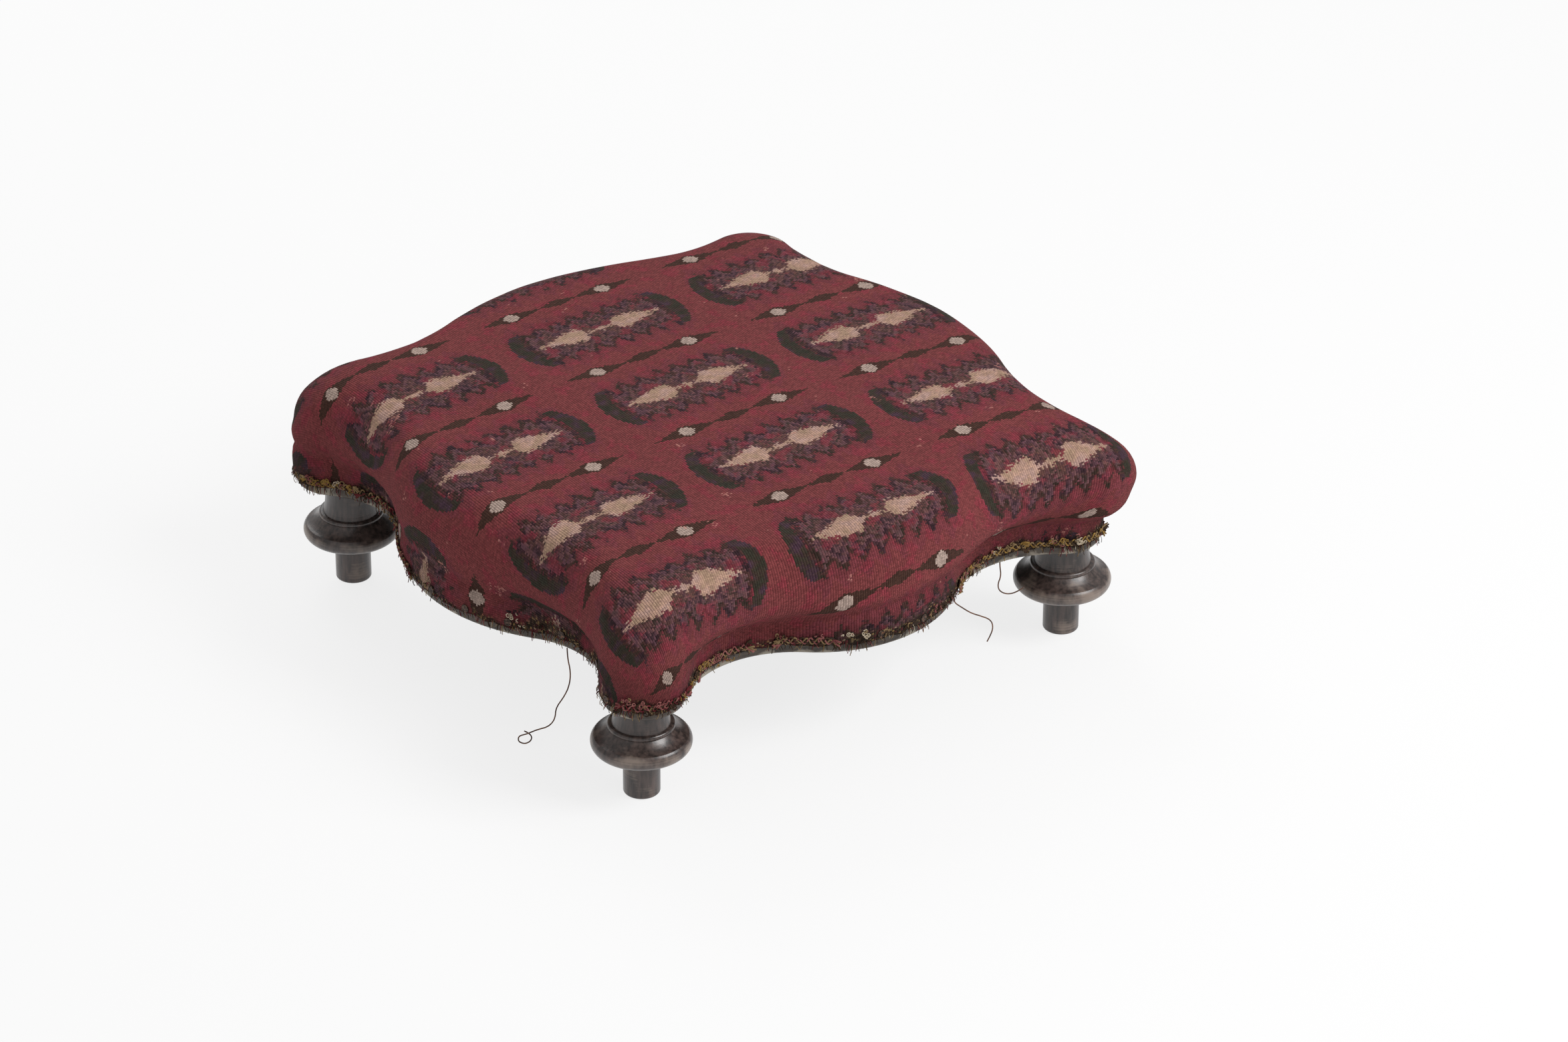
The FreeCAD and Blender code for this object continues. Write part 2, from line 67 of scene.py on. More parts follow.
def make_camera():
    back = Vector((math.sin(AZIMUTH) * math.cos(ELEVATION), -math.cos(AZIMUTH) * math.cos(ELEVATION),
                   math.sin(ELEVATION)))
    right = Vector((0, 0, 1)).cross(back).normalized()
    up = back.cross(right)
    rolled_right = math.cos(ROLL) * right + math.sin(ROLL) * up
    rolled_up = math.cos(ROLL) * up - math.sin(ROLL) * right
    data = bpy.data.cameras.new("camera")
    data.sensor_width = SENSOR
    data.lens = LENS
    camera = bpy.data.objects.new("camera", data)
    turn = Matrix((rolled_right, rolled_up, back)).transposed()
    place = AIM + back * CAMERA_DISTANCE + rolled_right * SHIFT_RIGHT + rolled_up * SHIFT_UP
    camera.matrix_world = Matrix.Translation(place) @ turn.to_4x4()
    bpy.context.scene.collection.objects.link(camera)
    bpy.context.scene.camera = camera
    print("camera stands at, in m:", [round(value, 3) for value in place])


make_camera()

# %% [markdown]
# A material is a net of small nodes. One function that adds a node, sets its settings and joins its inputs
# keeps each recipe short enough to read. Colours are written as they look on a screen, in hex, and turned
# to the linear values that the renderer needs. The scale of a pattern is worked out from a size in
# millimetres that can be measured on the real thing, such as the distance between two threads. A node for
# sums is asked for by its kind and what it does, such as "Math MULTIPLY".

# %% Helpers for materials
WHITE = (1.0, 1.0, 1.0, 1.0)


def linear(code):
    """A screen colour such as 8C3841 as linear red, green, blue and alpha."""
    channels = [int(code[i:i + 2], 16) / 255 for i in (0, 2, 4)]
    return tuple(c / 12.92 if c <= 0.04045 else ((c + 0.055) / 1.055) ** 2.4 for c in channels) + (1.0,)


def patches(size):
    """The scale of a noise with patches about this many mm across."""
    return 1 / (size * MM)


def threads(spacing):
    """The scale of a wave with a band every so many mm; this texture has a period of tau in 20 units."""
    return math.tau / 20 / (spacing * MM)


def join(tree, socket, value):
    """Gives a socket a plain value, or links it to a socket or to the first output of a node."""
    if isinstance(value, bpy.types.Node):
        value = next(output for output in value.outputs if output.enabled)
    if isinstance(value, bpy.types.NodeSocket):
        tree.links.new(value, socket)
    else:
        socket.default_value = value


def add(tree, kind, *inputs, stops=(), **settings):
    """Adds a node. Inputs come in order, None leaves one alone, and a colour ramp also gets its stops."""
    kind, _, operation = kind.partition(" ")
    node = tree.nodes.new("ShaderNode" + kind)
    if operation:
        node.operation = operation
    for name, value in settings.items():
        if name in node.inputs:
            join(tree, node.inputs[name], value)
        else:
            setattr(node if hasattr(node, name) else node.color_ramp, name, value)
    for number, value in enumerate(inputs):
        if value is not None:
            join(tree, node.inputs[number], value)
    if stops:
        elements = node.color_ramp.elements
        while len(elements) < len(stops):
            elements.new(0.5)
        for element, (position, colour) in zip(elements, stops):
            element.position = position
            element.color = linear(colour) if isinstance(colour, str) else colour
    return node


def new_material(name):
    """An empty material and its net of nodes."""
    material = bpy.data.materials.new(name)
    material.use_nodes = True
    material.node_tree.nodes.clear()
    return material, material.node_tree


def finish_material(tree, inputs):
    """The shader that all the recipes end in, with its inputs by their names."""
    add(tree, "OutputMaterial", add(tree, "BsdfPrincipled", **inputs))


print("this red on a screen, 8C3841, is linear", [round(value, 3) for value in linear("8C3841")])

# %% [markdown]
# Every new piece is made the same way: a mesh, an object at the origin that rides on the stool's one body,
# and a material. Wool ends, fray and loops are fine tubes. A curve with a round profile makes them, and
# many of them become one mesh, because one object for each of a thousand strands would be slow.

# %% Helpers for pieces
def new_object(name, mesh, body="root"):
    """A finished piece: its object sits at the origin, and its place is in its mesh."""
    piece = bpy.data.objects.new(name, mesh)
    bpy.context.scene.collection.objects.link(piece)
    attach(piece, body)
    return piece


def mesh_of(bm, name):
    mesh = bpy.data.meshes.new(name)
    bm.to_mesh(mesh)
    bm.free()
    return mesh


def thicken(piece, thickness, offset):
    """Gives a skin its wall: inwards with an offset of -1, or half to each side with 0."""
    wall = piece.modifiers.new("thickness", "SOLIDIFY")
    wall.thickness = thickness * MM
    wall.offset = offset


def tubes(name, radius, materials, runs, profile, steps):
    """A curve with a round profile. Each run has its points in mm and the number of its material."""
    curve = bpy.data.curves.new(name, "CURVE")
    curve.dimensions = "3D"
    curve.bevel_depth = radius * MM
    curve.bevel_resolution = profile
    curve.resolution_u = steps
    curve.use_fill_caps = True
    for material in materials:
        curve.materials.append(material)
    for points, number in runs:
        spline = curve.splines.new("NURBS")
        spline.points.add(len(points) - 1)
        for target, place in zip(spline.points, points):
            target.co = (*(Vector(place) * MM), 1)
        spline.order_u = 3
        spline.use_endpoint_u = True
        spline.material_index = number
        spline.use_smooth = True
    return curve


def strands(name, radius, materials, runs, profile=0, steps=3):
    """Many fine strands as one mesh."""
    curve = tubes(name, radius, materials, runs, profile, steps)
    maker = bpy.data.objects.new(name + "_maker", curve)
    mesh = bpy.data.meshes.new_from_object(maker)
    mesh.name = name
    bpy.data.objects.remove(maker)
    print(name, "strands:", len(runs), "faces:", len(mesh.polygons))
    return new_object(name, mesh)


# %% [markdown]
# Three loose wool ends hang from the worn edge. A thread is a fixed length of something limp: it leaves the
# underside, hangs, and curls by its own twist. Each one is a smooth curve through a few points chosen
# along what the photograph shows, with a round profile 0.8 mm across.

# %% Loose threads
THREAD_DIAMETER = 0.8           # mm
THREADS = {
    "left": (0.096, [(-164.6, -89.5, 68.0), (-164.6, -89.5, 62.0), (-163.0, -90.7, 51.0),
                      (-164.0, -89.9, 41.4), (-166.6, -88.0, 34.2), (-170.4, -85.1, 26.8),
                      (-170.8, -84.8, 19.0), (-174.0, -82.4, 13.6), (-179.5, -78.3, 11.6),
                      (-184.6, -74.5, 8.4), (-188.3, -71.7, 7.2), (-188.3, -71.2, 2.8),
                      (-184.4, -73.4, 0.9), (-181.0, -75.1, 3.4), (-181.1, -74.2, 7.2),
                      (-184.0, -71.4, 8.9)]),
    "front": (0.045, [(55.0, -176.5, 68.0), (55.0, -176.5, 64.0), (58.8, -179.4, 60.5),
                       (63.4, -182.8, 56.4), (68.1, -186.3, 54.4), (72.9, -189.9, 52.0),
                       (74.4, -191.0, 47.2), (73.4, -190.3, 41.6), (71.6, -188.9, 36.6)]),
    "right": (0.038, [(104.7, -158.5, 68.0), (104.7, -158.5, 63.5), (104.4, -160.6, 57.6),
                       (101.6, -160.8, 52.4), (103.2, -160.6, 47.0), (107.4, -163.4, 44.6),
                       (112.0, -166.6, 46.2), (115.4, -169.0, 49.4)]),
}


def wool_thread_material():
    """Twisted wool: dull and brownish, with the light catching its fuzz."""
    material, tree = new_material("loose_wool_thread")
    place = add(tree, "TexCoord").outputs["Object"]
    blotches = add(tree, "TexNoise", place, Scale=patches(5.56), Detail=2.0)
    colour = add(tree, "ValToRGB", blotches, stops=[(0.3, "4A352B"), (0.7, "8A6450")])
    fibres = add(tree, "TexNoise", place, Scale=patches(0.4), Detail=1.0)
    bump = add(tree, "Bump", Strength=0.5, Distance=0.2 * MM, Height=fibres)
    finish_material(tree, {"Base Color": colour, "Normal": bump, "Roughness": 0.9, "Sheen Weight": 0.25})
    return material


def make_threads():
    material = wool_thread_material()
    for name, (length, route) in THREADS.items():
        curve = tubes("loose_thread_" + name, THREAD_DIAMETER / 2, [material], [(route, 0)], 3, 8)
        piece = new_object("wool_thread_" + name, curve)
        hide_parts("loose_thread_" + name)
        print("loose thread", name, "length in mm:", length / MM)


make_threads()

# %% [markdown]
# The outline of the stool is drawn with arcs: a bow in each side, a lobe at each corner, and a waist
# between them that touches both. The same outline, wider at the bulge and tighter on top, gives the
# cushion its form, so it is worth writing once as a function that returns points round the stool.

# %% The serpentine outline
FRAME = dict(reach=198.0, bows=(117.0, 85.0), waists=(60.0, 65.0), lobe=24.0,
             lobes=[(162.0, 163.0), (-163.0, 162.0), (-162.0, -163.0), (152.0, -158.0)])
WIDE = dict(reach=201.0, bows=(150.0, 150.0), waists=(140.0, 120.0), lobe=27.0,
            lobes=[(154.0, 157.0), (-161.0, 160.0), (-162.0, -163.0), (167.0, -168.0)])
FLAT = dict(reach=174.0, bows=(210.0, 210.0), waists=(175.0, 170.0), lobe=24.0,
            lobes=[(124.0, 128.0), (-126.0, 124.0), (-134.0, -136.0), (122.0, -118.0)])
STEPS = {"bow": 48, "waist": 26, "lobe": 36}     # points along each kind of arc


def touching(first, first_radius, second, second_radius, radius):
    """Centre of the circle that touches two circles on the outer side of the outline."""
    step = second - first
    gap = step.length
    step.normalize()
    forward = ((first_radius + radius) ** 2 - (second_radius + radius) ** 2 + gap ** 2) / (2 * gap)
    aside = math.sqrt((first_radius + radius) ** 2 - forward ** 2)
    return first + step * forward + Vector((step.y, -step.x)) * aside


def inset(plan, depth):
    return dict(reach=plan["reach"] - depth, bows=tuple(r - depth for r in plan["bows"]),
                waists=tuple(r + depth for r in plan["waists"]), lobe=plan["lobe"] - depth,
                lobes=plan["lobes"])


def arcs(plan):
    """The arcs of a plan, anticlockwise from the right side's bow: kind, centre, radius, start and turn."""
    circles = []
    for step in range(4):
        bow = plan["bows"][step % 2]
        next_bow = plan["bows"][1 - step % 2]
        angle = math.radians(90 * step)
        ahead = math.radians(90 * (step + 1))
        here = Vector((math.cos(angle), math.sin(angle))) * (plan["reach"] - bow)
        beyond = Vector((math.cos(ahead), math.sin(ahead))) * (plan["reach"] - next_bow)
        lobe = Vector(plan["lobes"][step])
        before = plan["waists"][step % 2]
        after = plan["waists"][1 - step % 2]
        circles.append(("bow", here, bow))
        circles.append(("waist", touching(here, bow, lobe, plan["lobe"], before), before))
        circles.append(("lobe", lobe, plan["lobe"]))
        circles.append(("waist", touching(lobe, plan["lobe"], beyond, next_bow, after), after))
    found = []
    for step, (kind, centre, radius) in enumerate(circles):
        last = circles[step - 1]
        coming = circles[(step + 1) % len(circles)]
        start = last[1] + (centre - last[1]).normalized() * last[2] - centre
        end = centre + (coming[1] - centre).normalized() * radius - centre
        first = math.atan2(start.y, start.x)
        turn = math.atan2(end.y, end.x) - first
        if kind == "waist":
            turn = -((-turn) % math.tau)
        else:
            turn = turn % math.tau
        found.append((kind, centre, radius, first, turn))
    return found


def outline(plan):
    """Points anticlockwise round a plan, in mm, each arc with its own steady number of steps."""
    points = []
    for kind, centre, radius, first, turn in arcs(plan):
        for step in range(STEPS[kind]):
            angle = first + turn * step / STEPS[kind]
            points.append(centre + Vector((math.cos(angle), math.sin(angle))) * radius)
    return points


STATIONS = len(outline(FRAME))
print("stations round the stool:", STATIONS)

# %% [markdown]
# The stuffed top is a crown: straight up from the tacked edge, swelling to its widest line, round over the
# shoulder, and nearly flat on top. Each layer under the cloth has the same form, a little further in.
# The form is a grid of points wrapped round the stool: one direction runs along the outline, the other up
# the side and in over the top, so the levels can lie closer where the cloth bends more.

# %% The crowned form
RAIL_TOP = 90.0
COVER_EDGE = 74.5
WIDEST = 112.0
TOP = 151.0
CROWN_DROP = 5.0
BUILD_UP = 2.1          # cloth and its gap, outside the rails
CROWN_SPREAD = 1.15     # draws the crown's rows closer together near its rim


def levels_of(bottom, side=12, shoulder=18, crown=26):
    """The levels of a form from its bottom edge to the middle of the top, as (zone, share)."""
    levels = []
    if bottom < RAIL_TOP:
        levels += [("skirt", step / 6) for step in range(6)]
    levels += [("side", step / side) for step in range(side)]
    levels += [("shoulder", step / shoulder) for step in range(shoulder)]
    levels += [("crown", step / crown) for step in range(crown + 1)]
    return levels


def form_points(depth, bottom):
    """Rows of points in mm, one row for each level, from the bottom edge to the middle of the top."""
    skirt = [Vector((p.x, p.y)) for p in outline(inset(FRAME, depth - BUILD_UP))]
    wide = outline(inset(WIDE, depth))
    flat = outline(inset(FLAT, depth))
    rows = []
    low = min(bottom, RAIL_TOP)
    start = max(bottom, RAIL_TOP)
    for zone, share in levels_of(bottom):
        if zone == "skirt":
            mix, height = 0, low + (RAIL_TOP - low) * share
            row = [Vector((a.x, a.y, height)) for a in skirt]
        elif zone == "side":
            height = start + (WIDEST - start) * share
            mix = math.sin((height - RAIL_TOP) / (WIDEST - RAIL_TOP) * math.pi / 2)
            row = [Vector((*a.lerp(b, mix), height)) for a, b in zip(skirt, wide)]
        elif zone == "shoulder":
            angle = share * math.pi / 2
            height = WIDEST + (TOP - CROWN_DROP - depth - WIDEST) * math.sin(angle)
            row = [Vector((*a.lerp(b, 1 - math.cos(angle)), height)) for a, b in zip(wide, flat)]
        else:
            factor = (1 - share) ** CROWN_SPREAD
            height = TOP - depth - CROWN_DROP * factor ** 2
            row = [Vector((*(a * factor), height)) for a in flat]
        rows.append(row)
    return rows


print("levels from the edge to the middle:", len(levels_of(COVER_EDGE)))

# %% [markdown]
# A pattern on cloth has to follow the cloth. On the flat top its coordinates are simply the place. Over the
# edge they run on down the side by the length of cloth used, and at a corner they turn from one side's
# fall to the next. A grid carries them on its points as an attribute.

# %% The cloth's own coordinates, and a grid through rows
CORNER_BLEND = 46.0     # mm over which the cloth turns from one side's fall to the next


def cloth_direction(point):
    """Which way the cloth falls over the edge here: square to the side, and slanting only at a corner."""
    lean = (abs(point.x) - abs(point.y)) / CORNER_BLEND
    share = min(1, max(0, 0.5 + lean / 2))
    share = share * share * (3 - 2 * share)
    angle = math.pi / 2 * (1 - share)
    return Vector((math.copysign(math.cos(angle), point.x), math.copysign(math.sin(angle), point.y)))


def cloth_coordinates(rows):
    """Where each point lies on the flat cloth, in mm: x and y on top, and arc length down the sides."""
    edge = next(number for number, (zone, _) in enumerate(levels_of(COVER_EDGE)) if zone == "crown")
    found = [[Vector((p.x, p.y)) for p in row] for row in rows]
    for station in range(STATIONS):
        fall = cloth_direction(rows[edge][station])
        spare = 0
        for level in range(edge - 1, -1, -1):
            here = rows[level][station]
            above = rows[level + 1][station]
            outward = (here - above).xy.dot(fall)
            spare += (here - above).length - outward
            found[level][station] = here.xy + fall * spare
    return found


def grid_through(rows, name, extra=None, closed=True):
    """A mesh through rows of points that close round the stool, or that are open strips."""
    count = len(rows[0])
    across = count if closed else count - 1
    bm = bmesh.new()
    bmesh.ops.create_grid(bm, x_segments=across, y_segments=len(rows) - 1, size=1)
    layer = bm.verts.layers.float_vector.new("cloth") if extra else None
    for vert in bm.verts:
        station = round((vert.co.x + 1) / 2 * across) % count
        level = round((vert.co.y + 1) / 2 * (len(rows) - 1))
        vert.co = rows[level][station] * MM
        if extra:
            vert[layer] = Vector((*extra[level][station], 0)) * MM
    bmesh.ops.remove_doubles(bm, verts=bm.verts, dist=1e-6)
    bmesh.ops.recalc_face_normals(bm, faces=bm.faces)
    for face in bm.faces:
        face.smooth = True
    return mesh_of(bm, name)


print("points in the cover's grid:", STATIONS * len(levels_of(COVER_EDGE)))

# %% [markdown]
# Old needlework is never quite smooth. It is pulled in at each tack along the lower edge, creased where
# it goes round the waists, and lumpy where the hair has packed down. These moves are small, so they are
# written as a displacement along the outward direction, from a few plain waves and a soft noise.

# %% Creases and lumps in the cover
TACK_PITCH = 33.0
CREASES = [(-171.0, -112.0, 2.6, 5.0), (-166.0, -97.0, 1.8, 4.0), (-103.0, -165.0, 2.6, 5.5),
           (-88.0, -162.0, 1.6, 4.0), (105.0, -160.0, 1.8, 5.0), (-172.0, 100.0, 2.0, 5.0),
           (-176.0, 118.0, 2.4, 4.0), (165.0, 100.0, 1.8, 5.0), (164.0, -100.0, 1.8, 5.0),
           (98.0, 164.0, 1.6, 5.0), (-100.0, 164.0, 1.8, 5.0),
           (-198.0, -37.0, 1.6, 3.0), (-180.0, 141.0, 1.8, 3.5)]     # place in plan, depth, half width
SAGS = [(170.0, -170.0, 137.0, 42.0, 15.0, -3.5), (172.0, -172.0, 97.0, 36.0, 6.0, 5.0),
        (170.0, -170.0, 84.0, 36.0, 5.0, -1.2),
        (0.0, -200.0, 94.0, 90.0, 5.0, -2.6), (-10.0, -200.0, 103.0, 90.0, 5.0, 1.4),
        (-168.0, -168.0, 92.0, 30.0, 6.0, 1.5), (-165.0, 165.0, 94.0, 30.0, 5.0, -2.8),
        (-165.0, 165.0, 103.0, 34.0, 6.0, 1.8), (-200.0, 0.0, 94.0, 70.0, 5.0, -1.8),
        (60.0, 30.0, 151.0, 60.0, 30.0, -0.8), (-70.0, -50.0, 151.0, 55.0, 30.0, -0.7)]
FRAY = 1.6              # how far the raw edge wanders up and down
FRAY_ROWS = 4           # rows of the cloth that wander with it
LUMP_SIZE = 50.0
RIPPLE_SIZE = 13.0
FRAY_SIZE = 6.0


def wander_of(point):
    """How far the raw edge lies above or below its line here, in mm."""
    return noise.noise(Vector((point.x, point.y, 0)) / FRAY_SIZE) * FRAY


def push(point, along_edge):
    """How far the cloth stands out or in at a point, in mm."""
    height = point.z
    side_share = max(0, min(1, (TOP - CROWN_DROP - height) / 20))
    low_share = max(0, min(1, (WIDEST - height) / (WIDEST - COVER_EDGE)))
    free_share = max(0.2, min(1, (height - COVER_EDGE) / 18))
    lumps = 1.1 * noise.noise(Vector((point.x, point.y, height)) / LUMP_SIZE) * free_share
    ripple = 0.4 * noise.noise(Vector((point.x, point.y, height * 0.5)) / RIPPLE_SIZE) * side_share
    tacks = -0.7 * low_share ** 2 * math.cos(along_edge / TACK_PITCH * math.tau) ** 4
    creases = 0
    for x, y, depth, width in CREASES:
        reach = math.hypot(point.x - x, point.y - y)
        creases -= depth * math.exp(-(reach / width) ** 2) * side_share * min(free_share, 0.4 + low_share)
    sags = 0
    for x, y, z, width, tall, out in SAGS:
        reach = math.hypot(point.x - x, point.y - y)
        sags += out * math.exp(-(reach / width) ** 2 - ((height - z) / tall) ** 2)
    deepest = -0.25 - max(0, height - RAIL_TOP - 0.8) * 0.6
    return max(lumps + ripple + tacks + creases + sags, deepest)


def worn(rows, fray=False):
    """The rows with their creases and lumps, each point moved along its outward direction."""
    moved = []
    for number, row in enumerate(rows):
        new_row = []
        along_edge = 0
        for station, point in enumerate(row):
            ahead = row[(station + 1) % STATIONS]
            behind = row[station - 1]
            along_edge += (point - behind).length if station else 0
            tangent = ahead - behind
            up_row = rows[min(number + 1, len(rows) - 1)][station] - rows[max(number - 1, 0)][station]
            normal = tangent.cross(up_row)
            if normal.length < 1e-6:
                normal = Vector((0, 0, 1))
            normal.normalize()
            here = point + normal * push(point, along_edge)
            if fray and number < FRAY_ROWS:
                here.z += wander_of(point) * (1 - number / FRAY_ROWS)
            new_row.append(here)
        moved.append(new_row)
    return moved


# %% [markdown]
# The cloth is wool worked on canvas, about one and a half millimetres from stitch to stitch. A stitch is one
# colour all over, so a pattern with smooth edges would look printed. Here the cloth's own coordinates are
# first cut into stitches, and every later step reads the middle of its stitch: all edges come out stepped.
# The same step folds the cloth into one repeat, so that each figure is described only once.

# %% Stitches on the canvas
STITCH = 1.5            # mm from one column of stitches to the next
STITCH_TALL = 1.0       # mm from one stitch to the next in a column
REPEAT_X = 136.8        # mm from motif to motif
REPEAT_Y = 92.65
MOTIF_X = -6.5          # the middle of one motif
MOTIF_Y = 7.8
UNEVEN = 2.6            # mm by which one stitch strays from the drawn edge, or its neighbour


def fold(tree, value, size, middle, repeat, small_repeat):
    """Along one way of the cloth: stitches counted, and distances from motif and from diamond."""
    count = add(tree, "Math DIVIDE", value, size)
    whole = add(tree, "Math FLOOR", count)
    centre = add(tree, "Math MULTIPLY_ADD", whole, size, size / 2)
    from_motif = add(tree, "Math SUBTRACT", centre, middle)
    offset = add(tree, "Math WRAP", from_motif, repeat / 2, -repeat / 2)
    from_small = add(tree, "Math SUBTRACT", from_motif, small_repeat / 2)
    small = add(tree, "Math WRAP", from_small, small_repeat / 2, -small_repeat / 2)
    distance, small_distance = [add(tree, "Math ABSOLUTE", way) for way in (offset, small)]
    return count, whole, centre, offset, distance, small_distance


def stitches(tree):
    """What the figures are drawn from, by name, in mm."""
    cloth = add(tree, "Attribute", attribute_name="cloth", attribute_type="GEOMETRY").outputs["Vector"]
    split = add(tree, "SeparateXYZ", add(tree, "VectorMath SCALE", cloth, None, None, 1000.0))
    columns, column, u, offset, along, along_small = fold(tree, split.outputs["X"], STITCH, MOTIF_X,
                                                          REPEAT_X, REPEAT_X / 2)
    lines, line, v, _, across, across_small = fold(tree, split.outputs["Y"], STITCH_TALL, MOTIF_Y,
                                                   REPEAT_Y, REPEAT_Y)
    own = add(tree, "TexWhiteNoise", add(tree, "CombineXYZ", column, line, 0.0), noise_dimensions="2D")
    stitch = add(tree, "CombineXYZ", u, v, 0.0)
    jitter = add(tree, "Math MULTIPLY_ADD", own, UNEVEN, -UNEVEN / 2)
    families = add(tree, "TexNoise", stitch, Scale=1 / 9.09, Detail=2.0)
    families = add(tree, "Math MULTIPLY_ADD", jitter, 0.03, families)
    return dict(columns=columns, lines=lines, stitch=stitch, speckle=own, jitter=jitter, families=families,
                offset=offset, along=along, across=across, along_small=along_small, across_small=across_small)


print("stitches in one repeat:", round(REPEAT_X / STITCH), "by", round(REPEAT_Y / STITCH_TALL))

# %% [markdown]
# The repeat is a traditional flame pattern. Zig-zag flames stand round a line, and a worker changes wool
# in bands that follow their edge. So one value, how far a stitch lies inside the flames, is worked out
# from a folded ramp, and picks the band's colour. Wools also change in blotches as a skein runs out.

# %% Flames
TOOTH = 13.0            # mm from spike to spike of the flames
SLOPE = 1.65            # rise of a spike's side
FLAME_HALF = 17.5       # from the motif's line to the valleys between the spikes
END_RADIUS = 61.0       # the flames end on an arc of this radius
END_BEYOND = 10.0       # its middle lies this far past the motif's own
DRIFT = 9.0             # how far spikes are pushed along at random
BLOTCHED = 0.32         # share of the blotches in the flames' colour
FIRST_LAYER = -14.0
LAST_LAYER = 26.0
LAYERS = [(-14.0, "7C3D3E"), (-9.0, "783A40"), (-4.0, "74393D"), (0.0, "33211F"), (5.0, "66454B"),
          (9.4, "3E2B2C"), (12.6, "6C4A4A"), (16.2, "473231"), (19.0, "66453F"),
          (22.5, "573C3A")]                                       # mm inside the flames, colour
BLOTCHES = [(0.0, "3E2C3A"), (0.40, "5E3C48"), (0.47, "6E4A44"), (0.56, "3F3A2E"), (0.64, "7A3F48")]


def flames(tree, at):
    """The colour of ground and flames, and how far a stitch lies inside the arc at the motif's end."""
    wander = add(tree, "TexNoise", at["stitch"], Scale=1 / 7.14, Detail=2.0)
    drift = add(tree, "Math MULTIPLY_ADD", wander, DRIFT, -DRIFT / 2)
    swayed = add(tree, "Math ADD", at["offset"], drift)
    tooth = add(tree, "Math PINGPONG", swayed, TOOTH / 2)
    flame = add(tree, "Math MULTIPLY_ADD", tooth, SLOPE, FLAME_HALF)
    inside_flame = add(tree, "Math SUBTRACT", flame, at["across"])
    from_end = add(tree, "Math ADD", at["along"], END_BEYOND)
    end_reach = add(tree, "VectorMath LENGTH", add(tree, "CombineXYZ", from_end, at["across"], 0.0))
    inside_end = add(tree, "Math SUBTRACT", END_RADIUS, end_reach)
    inside = add(tree, "Math MINIMUM", inside_flame, inside_end)
    blurred = add(tree, "Math ADD", inside, at["jitter"])
    layer = add(tree, "MapRange", blurred, FIRST_LAYER, LAST_LAYER, 0.0, 1.0)
    stops = [((start - FIRST_LAYER) / (LAST_LAYER - FIRST_LAYER), code) for start, code in LAYERS]
    colour = add(tree, "ValToRGB", layer, stops=stops, interpolation="CONSTANT")
    blotch = add(tree, "ValToRGB", at["families"], stops=BLOTCHES, interpolation="CONSTANT")
    share = add(tree, "Math MULTIPLY", add(tree, "Math GREATER_THAN", blurred, 0.0), BLOTCHED)
    colour = add(tree, "Mix", share, data_type="RGBA", A=colour, B=blotch)
    streaks = add(tree, "TexNoise", at["stitch"], Scale=1 / 11.1, Detail=3.0)
    streaks = add(tree, "Math MULTIPLY_ADD", at["jitter"], 0.02, streaks)
    streak = add(tree, "MapRange", streaks, 0.54, 0.62, 0.0, 0.55)
    return add(tree, "Mix", streak, data_type="RGBA", A=colour, B=linear("8A3240")), inside_end


# %% [markdown]
# Three figures lie over the flames: dark crescents that cap each motif, a pair of pale lozenges on a thin
# line along its middle, and small diamonds in dark spindles half a repeat away. A figure is a mask, worked
# out from the same distances, that mixes its own wool in. A ramp of greys serves as the lozenges' profile.

# %% Crescents, lozenges and diamonds
CRESCENT_RADIUS = 38.3
CRESCENT_MIDDLE = 22.0
CRESCENT_HALF = 24.0
LOZENGE = [(0, 3.2), (3, 1.2), (9, 1.2), (11, 5.0), (14, 8.8), (20, 8.0), (26, 6.6), (32, 4.2),
           (37, 2.0), (43, 0.9), (45, 0.0)]                       # mm along the motif, half width
SPINDLE = (-0.29, 6.4)          # slope and half width of the spindle round a diamond
LINK = (-0.30, 4.6)             # the same for the small one between two motifs
DIAMOND = 9.4


def crescents(tree, at, colour, inside_end):
    middle = add(tree, "Math SUBTRACT", at["along"], CRESCENT_MIDDLE)
    reach = add(tree, "VectorMath LENGTH", add(tree, "CombineXYZ", middle, at["across"], 0.0))
    outer = add(tree, "Math LESS_THAN", reach, CRESCENT_RADIUS)
    edge = add(tree, "Math MULTIPLY_ADD", at["jitter"], 0.3, inside_end)
    inner = add(tree, "Math LESS_THAN", edge, 0.5)
    height = add(tree, "Math LESS_THAN", at["across"], CRESCENT_HALF)
    mask = add(tree, "Math MULTIPLY", add(tree, "Math MULTIPLY", outer, inner), height)
    wool = add(tree, "ValToRGB", at["families"], stops=[(0.35, "4A3440"), (0.5, "40332B"), (0.6, "36332A")])
    return add(tree, "Mix", mask, data_type="RGBA", A=colour, B=wool)


def lozenges(tree, at, colour):
    length = LOZENGE[-1][0]
    broad = max(width for _, width in LOZENGE)
    greys = [(place / length, (width / broad,) * 3 + (1.0,)) for place, width in LOZENGE]
    profile = add(tree, "ValToRGB", add(tree, "Math DIVIDE", at["along"], length), stops=greys)
    ragged = add(tree, "Math MULTIPLY_ADD", at["jitter"], 1.5, at["across"])
    ragged = add(tree, "Math MAXIMUM", ragged, 0.0)
    edge = add(tree, "Math MULTIPLY_ADD", profile, broad, 0.0)
    mask = add(tree, "Math LESS_THAN", ragged, edge)
    wool = add(tree, "ValToRGB", at["families"], stops=[(0.36, "B8968B"), (0.5, "B5917F"), (0.62, "A88A74")])
    return add(tree, "Mix", mask, data_type="RGBA", A=colour, B=wool)


